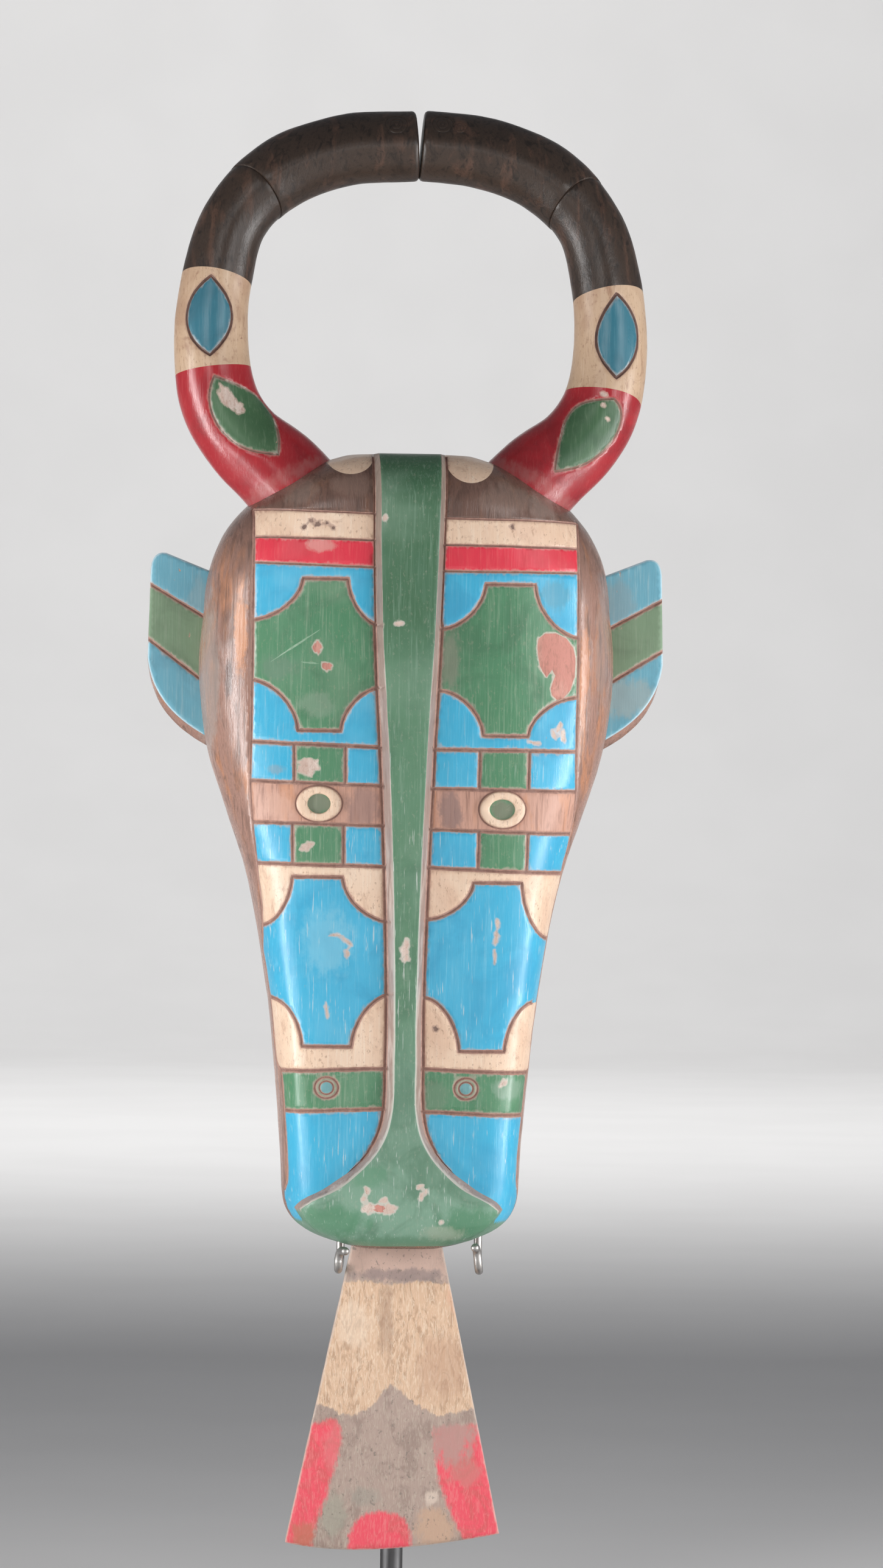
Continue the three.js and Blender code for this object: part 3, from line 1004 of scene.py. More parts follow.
    def layout(self, grooves: list[Groove], patches: list[Patch]) -> tuple[Array, Array]:
        """Triangulates the flat layout.

        Args:
            grooves: Carved lines.
            patches: Chips and worn places.

        Returns:
            Layout points and triangles.
        """
        form, chart = self.form, Chart()
        up_end = form.tables["up"][-1]
        rows = np.linspace(0, up_end, round(up_end / self.spacing) + 1)
        ends = np.array([-form.slice_length(rows, -1), form.slice_length(rows, 1)])
        low, top = (
            pairs(np.linspace(*ends[:, i], round(np.ptp(ends[:, i]) / self.spacing) + 1), rows[i])
            for i in (0, -1)
        )
        left, right = (pairs(end, rows) for end in ends)
        chart.line(np.vstack([low, right[1:-1], top[::-1], left[-2:0:-1]]), closed=True)
        heights = np.interp(rows, form.tables["up"], form.tables["z"])
        for side in (-1, 1):
            for turn in (1, 2):
                line = form.to_flat(np.full(len(rows), side * turn), heights)
                chart.line(line)
                if turn == 1:
                    for shift in (-self.arris_reach, self.arris_reach):
                        chart.line(line[1:-1] + (shift, 0))
            chart.line(form.at(pairs(side * np.linspace(0.5, 68, 26), self.chin_rim)))
        chart.add(grooves, patches)
        for cheek in (LEFT_CHEEK, RIGHT_CHEEK):
            (x, z), outer, inner = cheek.eye
            for (reach_x, reach_z), way in ((outer, -1), (inner, 1)):
                for grow in (0, way * 0.45, way * 1.1):
                    ring = oval(x, z, reach_x + grow, reach_z + grow, 36)
                    chart.line(cheek.lay(form, ring), closed=True)
        grid = []
        for number, (up, start, end) in enumerate(zip(rows, *ends)):
            place = np.arange(start + 1.5 + (number % 2) * self.spacing / 2, end - 1.2, self.spacing)
            if 0 < number < len(rows) - 1:
                grid.append(pairs(place, up))
        points, faces = chart.triangles(np.concatenate(grid), 1.25)
        return points, faces[form.from_rim(points[faces].mean(1)) > 0]

    def paint(self, points: Array, faces: Array, grooves: list[Groove], patches: list[Patch]) -> Array:
        """Finish of each triangle of the layout.

        Args:
            points: Layout points.
            faces: Triangles.
            grooves: Carved lines.
            patches: Chips and worn places.

        Returns:
            Slot numbers.
        """
        form = self.form
        middle = points[faces].mean(1)
        turn, z = form.from_flat(middle)
        x, _ = form.slice_place(turn, z)
        slots = np.full(len(faces), Slot.SIDE_WOOD)
        for cheek in (LEFT_CHEEK, RIGHT_CHEEK):
            way = x * cheek.side
            panel = (way > 0) & (way < cheek.edge_at(form, z)) & (z > self.chin_rim) & (np.abs(turn) < 3)
            band = sum((z < cheek.level(i, way)).astype(int) for i in range(len(cheek.levels)))
            for number, slot in enumerate((
                Slot.SIDE_WOOD, Slot.CREAM, Slot.RED, Slot.BLUE, Slot.BLUE, Slot.EYE_WOOD, Slot.BLUE,
                Slot.CREAM, Slot.GREEN, Slot.BLUE,
            )):
                slots[panel & (band == number)] = slot
            for number, (inner, outer) in zip((4, 6), cheek.dividers):
                slots[panel & (band == number) & (way > inner) & (way < outer)] = Slot.GREEN
            for number, shape, slot in ((3, cheek.upper, Slot.GREEN), (7, cheek.lower, Slot.BLUE)):
                upper, lower = shape.cuts()
                outline = [*upper, (130, upper[-1][1]), (130, lower[-1][1]), *lower[::-1],
                           (0, lower[0][1]), (0, upper[0][1])]
                within = inside(pairs(way, z), np.array(outline))
                slots[panel & (band == number) & within] = slot
        paint_over(slots, middle, grooves, patches)
        for cheek in (LEFT_CHEEK, RIGHT_CHEEK):
            _, ring, centre = self.ring_lift(cheek, x, z)
            slots[ring & (x * cheek.side > 0)] = Slot.CREAM
            slots[centre & (x * cheek.side > 0)] = Slot.GREEN
        chipped = np.isin(slots, (Slot.CHIP, Slot.BARE_CHIP, Slot.DARK_CHIP))
        way = np.abs(turn)
        slots[(way < 1) & (z > self.chin_rim) & ~chipped] = Slot.RIDGE
        slots[(way >= 1) & (way < 2) & (z > self.chin_rim)] = Slot.BEVEL
        flared = ((way < 2) & (z < 27)) | ((way < 3) & (z < 19))
        slots[(z > self.chin_rim) & (way >= 1) & flared] = Slot.RIDGE
        return slots

    def shell(self) -> Shell:
        """Builds the head as a closed shell, not yet hollow.

        Returns:
            The shell.
        """
        form = self.form
        grooves, patches = self.carve()
        points, faces = self.layout(grooves, patches)
        slots = self.paint(points, faces, grooves, patches)
        turn, z = form.from_flat(points)
        x, y = form.slice_place(turn, z)
        solid = np.column_stack([x, y, z])
        normals = vertex_normals(solid, faces)
        cut, near = dig(points, grooves, patches)
        edge = form.to_flat(np.where(points[:, 0] < 0, -1, 1), z)[:, 0]
        off_arris = np.abs(points[:, 0] - edge)
        arris = np.clip(1 - off_arris / self.arris_reach, 0, 1)
        worn = np.clip(1 - off_arris / np.where(np.abs(turn) < 1, 1.8, 11), 0, 1)
        cut = cut + self.arris_depth * arris**2
        for cheek in (LEFT_CHEEK, RIGHT_CHEEK):
            cut = cut - self.ring_lift(cheek, x, z)[0] * (x * cheek.side > 0)
        cut = cut - self.hand * flutter(solid, self.hand_wave, 4) - 0.16 * flutter(solid, 9, 8)
        up_end = form.tables["up"][-1]
        from_end = np.minimum(points[:, 1], up_end - points[:, 1])
        held = ease(np.minimum(from_end, form.from_rim(points)) / 5)
        solid = solid - normals * (cut * held)[:, None]
        made = self.close(points, solid, faces, slots)
        made.marks = {**near, "worn": worn}
        return made.trimmed()

    def close(self, points: Array, solid: Array, faces: Array, slots: Array) -> Shell:
        """Adds the flat top, bottom and back.

        Args:
            points: Layout points.
            solid: The same points in space.
            faces: Triangles.
            slots: Their finishes.

        Returns:
            The closed shell.
        """
        form = self.form
        up_end = form.tables["up"][-1]
        on_rim = form.from_rim(points) < 1e-3
        low, top, right, left = (in_order(np.flatnonzero(chosen), points, axis) for chosen, axis in (
            (points[:, 1] < 1e-4, 0), (points[:, 1] > up_end - 1e-4, 0),
            (on_rim & (points[:, 0] > 0), 1), (on_rim & (points[:, 0] < 0), 1),
        ))
        solid[low, 2], solid[top, 2] = 0, form.height
        solid[right, 1] = solid[left, 1] = 0
        caps = [low[::-1].tolist(), top.tolist(), [*right[::-1].tolist(), *left.tolist()]]
        all_slots = [*slots.tolist(), Slot.SIDE_WOOD, Slot.SIDE_WOOD, Slot.RAW_WOOD]
        return Shell(solid, faces.tolist() + caps, all_slots)


@dataclass
class Hollow:
    """Space behind the face, and the notch in the mouth's floor that the tongue hangs through."""

    form: HeadForm
    floor: float = 22.0
    top: float = 530.0
    side_wall: float = 21.0
    front_wall: float = 24.0
    corner: float = 4.0
    past: float = 5.0
    levels: int = 76
    steps: int = 26
    tool_marks: float = 0.9
    notch: Four = (-35.5, 31.5, -58.6, 27)

    def shell(self) -> Shell:
        """Builds the space as a solid to cut away, a little past the back rim.

        Returns:
            The solid.
        """
        form = self.form
        bend = self.corner * (1 - np.cos(np.linspace(0, math.pi / 2, 4)))
        z = np.concatenate([
            self.floor + bend, np.linspace(self.floor, self.top, self.levels)[2:-2], self.top - bend[::-1],
        ])
        edge = np.minimum(np.minimum(z - self.floor, self.top - z), self.corner)
        pinch = self.corner - np.sqrt(self.corner**2 - (self.corner - edge) ** 2)
        width = form.half_width(z) - self.side_wall - pinch
        depth = form.depth(z) - self.front_wall - pinch
        turn = np.sin(np.linspace(0, math.pi / 2, self.steps + 1))
        rows = []
        for height, half, deep in zip(z, width, depth):
            x = half * turn
            y = form.dome(x, np.full(len(x), height), half, deep)
            x, y = np.append(x, [half, half]), np.append(y, [-form.side_depth / 2, self.past])
            across, back = np.concatenate([-x[:0:-1], x]), np.concatenate([y[:0:-1], y])
            rows.append(np.column_stack([across, back, np.full(len(across), height)]))
        points = np.concatenate(rows)
        marks = self.tool_marks * flutter(points * (1, 1, 0.45), 13, 5)
        free = (points[:, 1] < -2) & (points[:, 2] > self.floor + 1) & (points[:, 2] < self.top - 1)
        points[:, 1] += np.where(free, marks, 0)
        rings = np.arange(len(points)).reshape(len(rows), -1).tolist()
        faces = [face for low, high in zip(rings, rings[1:]) for face in quads(low, high)]
        faces += [rings[0][::-1], rings[-1]]
        return Shell(points, faces, [Slot.RAW_WOOD] * len(faces))

    def notch_shell(self) -> Shell:
        """Builds the notch as a block to cut away.

        Returns:
            The block.
        """
        x0, x1, y0, z1 = self.notch
        ring = ((x0, y0), (x1, y0), (x1, self.past), (x0, self.past))
        corners = np.array([(x, y, z) for z in (-self.past, z1) for x, y in ring])
        faces = [[3, 2, 1, 0], [4, 5, 6, 7]] + [[i, (i + 1) % 4, (i + 1) % 4 + 4, i + 4] for i in range(4)]
        return Shell(corners, faces, [Slot.RAW_WOOD] * 6)


# Horns


@dataclass(frozen=True)
class HornPaint:
    """Where one horn's lines and lens shapes lie.

    A border is height, bulge at the front and lean to the outer side. A lens is its upper tip, lower
    tip, inner side and outer side, each as length along the horn and turn in degrees from its inner
    side over the front.
    """

    ring_line: Triple
    sleeve_top: Triple
    sleeve_foot: Triple
    sky_lens: tuple[Pair, Pair, Pair, Pair]
    leaf_lens: tuple[Pair, Pair, Pair, Pair]
    tip_ovals: tuple[Triple, ...]
    chips: tuple[tuple[float, float, float, float, float], ...]


@dataclass
class Horn:
    """One horn, from its root in the crown round to its tip, built as the right one."""

    side: int
    paint: HornPaint
    tip_x: float
    y: float = -48.0
    nodes: tuple[Triple, ...] = (
        (58, 506, 34), (92, 543, 32), (118, 566, 28.9), (134, 592, 27.6), (140.5, 632, 26),
        (137.5, 677, 24.8), (124, 721.6, 23.5), (92, 754, 24.6), (48, 770.5, 24.6),
    )
    tip_z: float = 774.5
    tip_radius: float = 24.2
    rim_round: float = 3.0
    flat_radius: float = 27.0
    spacing: float = 2.7
    soft_keel: float = 0.05
    crisp_keel: float = 0.145
    keel_round: float = 0.15
    ring_step: float = 0.5
    step_reach: float = 0.7
    line_depth: float = 0.55
    least_oval: float = 1.2
    samples: int = 1500

    def path(self) -> Table:
        """Centre line as a curve through the nodes.

        Returns:
            Length from the root, place (x, z), direction and radius, at even steps.
        """
        nodes = np.array([*self.nodes, (self.tip_x, self.tip_z, self.tip_radius)], float)
        places, last = nodes[:, :2], len(nodes) - 1
        ends = np.vstack([2 * places[0] - places[1], places, 2 * places[-1] - places[-2]])
        share = np.linspace(0, 1, self.samples + 1) * last
        start = np.minimum(share.astype(int), last - 1)
        p = (share - start)[:, None]
        p0, p1, p2, p3 = (ends[start + i] for i in range(4))
        gap = [np.sqrt(np.linalg.norm(b - a, axis=1))[:, None] for a, b in ((p0, p1), (p1, p2), (p2, p3))]
        leave = ((p1 - p0) / gap[0] - (p2 - p0) / (gap[0] + gap[1]) + (p2 - p1) / gap[1]) * gap[1]
        arrive = ((p2 - p1) / gap[1] - (p3 - p1) / (gap[1] + gap[2]) + (p3 - p2) / gap[2]) * gap[1]
        curve = p1 + leave * p + (3 * (p2 - p1) - 2 * leave - arrive) * p**2
        curve = curve + (2 * (p1 - p2) + leave + arrive) * p**3
        step = np.linalg.norm(np.diff(curve, axis=0), axis=1)
        length = np.concatenate([[0], np.cumsum(step)])
        along = np.gradient(curve, axis=0)
        along /= np.linalg.norm(along, axis=1)[:, None]
        radius = Profile(tuple((i / last, r) for i, (_, _, r) in enumerate(nodes)))(share / last)
        return length, curve, along, radius

    def border(self, line: Triple, turn: Array) -> Array:
        """Length along the horn of a border at turns in radians."""
        height, bulge, lean = line
        return height + bulge * np.sin(turn) + lean * np.cos(turn)

    def lens(self, corners: tuple[Pair, Pair, Pair, Pair]) -> Array:
        """Closed outline of a pointed oval, in the layout.

        Args:
            corners: Top, bottom and two sides.

        Returns:
            The outline.
        """
        spots = np.array([(math.radians(turn) * self.flat_radius, length) for length, turn in corners])
        upper, lower, inner, outer = spots
        run = []
        for start, end, side in ((upper, lower, inner), (lower, upper, outer)):
            pull = 2 * side - (start + end) / 2
            size = np.linalg.norm(end - start)
            for share in np.arange(0, 1, 2.3 / size):
                run.append((1 - share) ** 2 * start + 2 * share * (1 - share) * pull + share**2 * end)
        return np.array(run)

    def place(self, flat: Array, push: Array, table: Table) -> Array:
        """Puts layout points in space.

        Args:
            flat: Layout points: turn times the flat radius, and length along the horn.
            push: How far each stands out from the surface.
            table: What path() gave.

        Returns:
            N by 3 points.
        """
        length, curve, along, radius = table
        turn = flat[:, 0] / self.flat_radius
        at = [np.interp(flat[:, 1], length, part) for part in (*curve.T, *along.T, radius)]
        x, z, along_x, along_z, round_radius = at
        ring = self.border(self.paint.ring_line, turn)
        past = ease((flat[:, 1] - ring) / 1.2)
        keel = self.soft_keel + (self.crisp_keel - self.soft_keel) * past
        power = 2 + 0.7 * past
        front = np.sin(turn)
        off_keel = np.hypot(np.cos(turn), self.keel_round) - self.keel_round
        bump = np.where(front > 0, keel * round_radius * (1 - off_keel) ** power, 0)
        reach = round_radius + push + self.ring_step * past
        across = reach * np.cos(turn)
        return np.column_stack([x - along_z * across, self.y - reach * front - bump, z + along_x * across])

    def shell(self) -> Shell:
        """Builds the horn as a closed shell.

        Returns:
            The shell.
        """
        table = self.path()
        total = table[0][-1] - self.rim_round
        start, end = -math.pi / 2 * self.flat_radius, 3 * math.pi / 2 * self.flat_radius
        columns = np.linspace(start, end, round((end - start) / self.spacing) + 1)
        rows = np.linspace(0, total, round(total / self.spacing) + 1)
        chart = Chart()
        sides = ((columns, 0), (end, rows[1:-1]), (columns[::-1], total), (start, rows[-2:0:-1]))
        chart.line(np.vstack([pairs(x, z) for x, z in sides]), closed=True)
        turns = columns / self.flat_radius
        paint = self.paint
        borders = [(paint.ring_line, shift) for shift in (-self.step_reach, 0, self.step_reach)]
        for border, shift in (*borders, (paint.sleeve_top, 0), (paint.sleeve_foot, 0)):
            chart.line(pairs(columns, self.border(border, turns) + shift))
        sky, leaf = self.lens(paint.sky_lens), self.lens(paint.leaf_lens)
        grooves = [
            Groove(sky, 2.2, 0.8, True, Slot.OUTLINE, 1),
            Groove(leaf, 1.6, 0.6, True, Slot.LEAF_LINE, 2),
        ]
        for length, turn, reach in paint.tip_ovals:
            middle = (math.radians(turn) * self.flat_radius, length)
            for size in (reach, reach * 0.58, reach * 0.22):
                if size > self.least_oval:
                    ring = oval(*middle, size, size * 0.92, max(9, round(5.2 * size / 1.9)))
                    grooves.append(Groove(ring, 1.1, 0.35, True, Slot.HORN_WOOD, turn))
        patches = []
        for number, (length, turn, reach_x, reach_z, tilt) in enumerate(paint.chips):
            spot = math.radians(turn) * self.flat_radius
            patches.append(Patch(ragged(spot, length, reach_x, reach_z, tilt, 5.5 + number), Slot.CHIP, 0.35))
        chart.add(grooves, patches)
        grid = np.concatenate([
            pairs(columns[1:-1] + (number % 2 - 0.5) * self.spacing / 2, row)
            for number, row in enumerate(rows[1:-1])
        ])
        points, faces = chart.triangles(grid, 1.2)
        middle = points[faces].mean(1)
        turn = middle[:, 0] / self.flat_radius
        slots = np.full(len(faces), Slot.HORN_RED)
        slots[middle[:, 1] > self.border(paint.sleeve_foot, turn)] = Slot.HORN_CREAM
        slots[middle[:, 1] > self.border(paint.sleeve_top, turn)] = Slot.HORN_WOOD
        slots[inside(middle, sky)] = Slot.HORN_BLUE
        slots[inside(middle, leaf)] = Slot.HORN_GREEN
        paint_over(slots, middle, grooves, patches)
        cut, near = dig(points, grooves, patches)
        push = -cut
        off_line = np.abs(points[:, 1] - self.border(paint.ring_line, points[:, 0] / self.flat_radius))
        push -= self.line_depth * np.clip(1 - off_line / self.step_reach, 0, 1)
        rough = self.place(points, push, table)
        push = push + 0.5 * flutter(rough, 30, 2 + self.side) + 0.12 * flutter(rough, 8, 6)
        solid = self.place(points, push, table)
        made = self.close(points, solid, faces, slots, table, (start, end))
        made.marks = near
        made = made.trimmed()
        return made if self.side > 0 else made.mirrored()

    def close(
        self, points: Array, solid: Array, faces: Array, slots: Array,
        table: Table, seam: Pair,
    ) -> Shell:
        """Welds the seam and adds the root's end and the rounded tip.

        Args:
            points: Layout points.
            solid: The same points in space.
            faces: Triangles.
            slots: Their finishes.
            table: What path() gave.
            seam: Where the layout starts and ends, sideways.

        Returns:
            The closed shell.
        """
        number = np.arange(len(points))
        first, second = (
            in_order(np.flatnonzero(np.abs(points[:, 0] - x) < 1e-3), points, 1) for x in seam
        )
        number[second] = first
        faces = number[faces]
        rows = []
        total = points[:, 1].max()
        for level in (0, total):
            row = np.flatnonzero((np.abs(points[:, 1] - level) < 1e-3) & (number == np.arange(len(points))))
            rows.append(in_order(row, points, 0))
        length, curve, along, _ = table
        all_points, all_faces = [solid], faces.tolist()
        all_faces.append(rows[0][::-1].tolist())
        direction = np.array([along[-1, 0], 0, along[-1, 1]])
        tip_x, tip_z = (np.interp(total, length, part) for part in curve.T)
        centre = np.array([tip_x, self.y, tip_z])
        ring, count = rows[1], len(rows[1])
        spread = solid[ring] - centre
        size = np.linalg.norm(spread, axis=1)[:, None]
        before = ring
        for level, share in enumerate((0.33, 0.66, 0.9, 1)):
            turn = share * math.pi / 2
            shrink = 1 - self.rim_round * (1 - math.cos(turn)) / size
            all_points.append(centre + spread * shrink + direction * self.rim_round * math.sin(turn))
            after = len(solid) + level * count + np.arange(count)
            all_faces += quads(before, after)
            before = after
        all_faces.append(before.tolist())
        all_slots = slots.tolist() + [Slot.HORN_WOOD] * (len(all_faces) - len(slots))
        return Shell(np.concatenate(all_points), all_faces, all_slots)


RIGHT_HORN = HornPaint(
    ring_line=(264, 11, 0), sleeve_top=(194, 6.7, 0), sleeve_foot=(121, 7.5, -2),
    sky_lens=((194.9, 99), (136.5, 99), (164.2, 62), (165.2, 133)),
    leaf_lens=((122.5, 102), (57.9, 97), (99.5, 50), (100.2, 128)),
    tip_ovals=((371.5, 126, 8), (359.5, 121, 4.7)),
    chips=((123.5, 85, 2.4, 1.5, 0), (116.3, 90, 1.4, 1.2, 0), (108.9, 104, 1.3, 1.1, 0)),
)
LEFT_HORN = HornPaint(
    ring_line=(270, 10, 0), sleeve_top=(202, 6.5, 0), sleeve_foot=(137.5, 2.7, 0),
    sky_lens=((202.4, 100), (147.5, 94), (175.7, 57), (174, 134)),
    leaf_lens=((132.8, 91), (58.2, 76), (97, 20), (98.4, 109)), tip_ovals=((377, 124, 8.5),),
    chips=((113.5, 78, 4.4, 12.5, -18), (104, 70, 3, 4, 10)),
)


# Plates: ears and tongue


@dataclass
class Plate:
    """Board with a painted front, seen flat from the front."""

    outline: Array
    front_y: float
    thickness: float
    base: int
    rim: int
    grooves: list[Groove] = field(default_factory=list)
    patches: list[Patch] = field(default_factory=list)
    areas: dict[str, list[Array]] = field(default_factory=dict)
    hang: float = 0.0
    hang_span: Pair = (0, 1)
    chamfer: float = 1.2
    spacing: float = 2.8
    seed: float = 1.0

    def shell(self) -> Shell:
        """Builds the board as a closed shell.

        Returns:
            The shell.
        """
        chart = Chart()
        chart.line(self.outline, closed=True)
        inward = crosswise(np.roll(self.outline, -1, 0) - np.roll(self.outline, 1, 0))
        chart.line(self.outline + inward * self.chamfer, closed=True)
        chart.add(self.grooves, self.patches)
        low, high = self.outline.min(0), self.outline.max(0)
        grid = np.array([
            (x + (row % 2) * self.spacing / 2, z)
            for row, z in enumerate(np.arange(low[1], high[1], self.spacing * 0.9))
            for x in np.arange(low[0], high[0], self.spacing)
        ])
        points, faces = chart.triangles(grid[inside(grid, self.outline)], 1.1)
        faces = faces[inside(points[faces].mean(1), self.outline)]
        middle = points[faces].mean(1)
        slots = np.full(len(faces), self.base)
        paint_over(slots, middle, self.grooves, self.patches)
        edge = distance_to_line(points, looped(self.outline), 1e3)
        sunk = 0.7 * self.chamfer * np.clip(1 - edge / self.chamfer, 0, 1)
        cut, near = dig(points, self.grooves, ())
        sunk = np.maximum(sunk, cut)
        waves = 0.5 * flutter(points, 32, self.seed) + 0.15 * flutter(points, 8, self.seed)
        sunk = sunk - waves * ease(edge / 3)
        sides = {(int(face[i]), int(face[(i + 1) % 3])) for face in faces for i in range(3)}
        after_point = {a: b for a, b in sorted(sides) if (b, a) not in sides}
        loop = [next(iter(after_point))]
        while after_point[loop[-1]] != loop[0]:
            loop.append(after_point[loop[-1]])
        front = np.column_stack([points[:, 0], self.front_y + sunk, points[:, 1]])
        count = len(loop)
        low_end, high_end = self.hang_span
        border = points[loop]
        drop = self.hang * (1 - np.clip((border[:, 1] - low_end) / (high_end - low_end), 0, 1) ** 3)
        inward = crosswise(np.roll(border, -1, 0) - np.roll(border, 1, 0))
        all_points, all_faces, before = [front], faces.tolist(), loop
        for level, (share, inset) in enumerate(((0.5, 0), (0.9, 0), (1, 0.6))):
            spot = border + inset * inward
            rough = 0.25 * flutter(spot + share, 7, self.seed + 3)
            back = np.full(count, self.front_y + self.thickness * share)
            all_points.append(np.column_stack([spot[:, 0] + rough, back, spot[:, 1] - drop * share]))
            after = [len(front) + level * count + i for i in range(count)]
            all_faces += [face[::-1] for face in quads(before, after)]
            before = after
        all_faces.append(before[::-1])
        all_slots = slots.tolist() + [self.rim] * (len(all_faces) - len(faces))
        marks = {**near, "worn": np.clip(1 - edge / 4, 0, 1)}
        for name, areas in self.areas.items():
            depths = [
                distance_to_line(points, looped(area), 1e3) * np.where(inside(points, area), 1, -1)
                for area in areas
            ]
            marks[name] = np.clip(np.max(depths, axis=0) / 10, -1, 1)
        return Shell(np.concatenate(all_points), all_faces, all_slots, marks).trimmed()


def bezier(start: Pair, pulls: Sequence[Pair], end: Pair, count: int) -> list[Pair]:
    """Points on a curve with one or two pulls, its end left out.

    Args:
        start: First point.
        pulls: One or two pulling points.
        end: Last point.
        count: Number of points.

    Returns:
        The points.
    """
    run = []
    for i in range(count):
        t = i / count
        if len(pulls) == 1:
            parts = ((start, (1 - t) ** 2), (pulls[0], 2 * t * (1 - t)), (end, t * t))
        else:
            shares = (1 - t) ** 3, 3 * t * (1 - t) ** 2, 3 * t * t * (1 - t), t**3
            parts = tuple(zip((start, *pulls, end), shares))
        run.append((sum(p[0] * w for p, w in parts), sum(p[1] * w for p, w in parts)))
    return run


@dataclass
class Ear:
    """Ear plate that stands out from the side of the head, built as the right one."""

    side: int
    bands: tuple[tuple[Pair, Pair], tuple[Pair, Pair]]
    front_y: float = -30.0
    thickness: float = 12.0
    hang: float = 7.0
    root_low: Pair = (122, 350)
    curve_start: Pair = (140, 357)
    curve_pulls: tuple[Pair, Pair] = ((166, 371), (179.5, 388))
    curve_end: Pair = (182.3, 412)
    side_top: Pair = (180.8, 475)
    corner: Pair = (179.8, 487.8)
    corner_end: Pair = (170, 486)
    root_high: Pair = (122, 467)

    def shell(self) -> Shell:
        """Builds the ear as a closed shell.

        Returns:
            The shell.
        """
        curve = bezier(self.curve_start, self.curve_pulls, self.curve_end, 24)
        turn = bezier(self.side_top, [self.corner], self.corner_end, 6)
        parts = [
            trace([self.root_low, self.curve_start], 2.6)[:-1], curve,
            trace([self.curve_end, self.side_top], 2.6)[:-1], turn,
            trace([self.corner_end, self.root_high, self.root_low], 2.6)[:-1],
        ]
        outline = np.concatenate([np.array(points) for points in parts])
        upper, lower = self.bands
        grooves = [Groove(trace(line, 2.5), 2.6, 0.9, seed=3 + i) for i, line in enumerate(self.bands)]
        middle = np.array([upper[0], upper[1], lower[1], lower[0]])
        patches = [Patch(middle, Slot.EAR_GREEN, drawn=False)]
        made = Plate(
            outline, self.front_y, self.thickness, Slot.EAR_BLUE, Slot.SIDE_WOOD,
            grooves=grooves, patches=patches, hang=self.hang,
            hang_span=(self.curve_start[1], self.curve_end[1]), seed=6 + self.side,
        ).shell()
        return made if self.side > 0 else made.mirrored()


EARS = (
    Ear(1, (((140, 434.9), (186, 459.7)), ((140, 395.5), (186, 423.9)))),
    Ear(-1, (((140, 439.7), (186, 466.7)), ((140, 393.8), (186, 428.2)))),
)


@dataclass
class Mask:
    """The whole carving: head, horns and ears in one piece of wood, hollow behind."""

    name: str = "mask_carving"
    crease: float = 42.0
    smoke_low: float = 440.0
    smoke_reach: float = 40.0
    smoke_top: float = 22.0

    def build(self) -> Object:
        """Joins the shells into one solid and hollows it.

        Returns:
            The carving.
        """
        head = MaskHead()
        finishes = [MASK_FINISHES[slot].make() for slot in Slot]
        carving = head.shell().to_object(self.name, finishes)
        log.info("head: %d faces", len(carving.data.polygons))
        for horn in (Horn(1, RIGHT_HORN, 5.5), Horn(-1, LEFT_HORN, -2.5)):
            solid = horn.shell().to_object("horn", finishes)
            log.info("horn: %d faces", len(solid.data.polygons))
            combine(carving, solid, "UNION")
        for ear in EARS:
            combine(carving, ear.shell().to_object("ear", finishes), "UNION")
        hollow = Hollow(head.form)
        combine(carving, hollow.shell().to_object("hollow", finishes), "DIFFERENCE")
        combine(carving, hollow.notch_shell().to_object("notch", finishes), "DIFFERENCE")
        self.mark_smoke(carving, head.form)
        smooth_shade(carving, self.crease)
        return carving

    def mark_smoke(self, carving: Object, form: HeadForm) -> None:
        """Stores how near each point of the horns' roots lies to the head's outline.

        Args:
            carving: The carving.
            form: Form of the head.
        """
        mesh = carving.data
        places = np.empty(len(mesh.vertices) * 3)
        mesh.vertices.foreach_get("co", places)
        places = places.reshape(-1, 3) / MM - (0, BACK_RIM_Y, CHIN_HEIGHT)
        z = np.linspace(self.smoke_low, form.height, 60)
        outline = np.vstack([pairs(form.half_width(z), z), (0, form.height)])
        apart = distance_to_line(np.abs(places[:, [0, 2]]), outline, self.smoke_reach)
        smoke = mesh.attributes.new("smoke", "FLOAT", "POINT").data
        smoke.foreach_set("value", 1 - ease(apart / self.smoke_top))


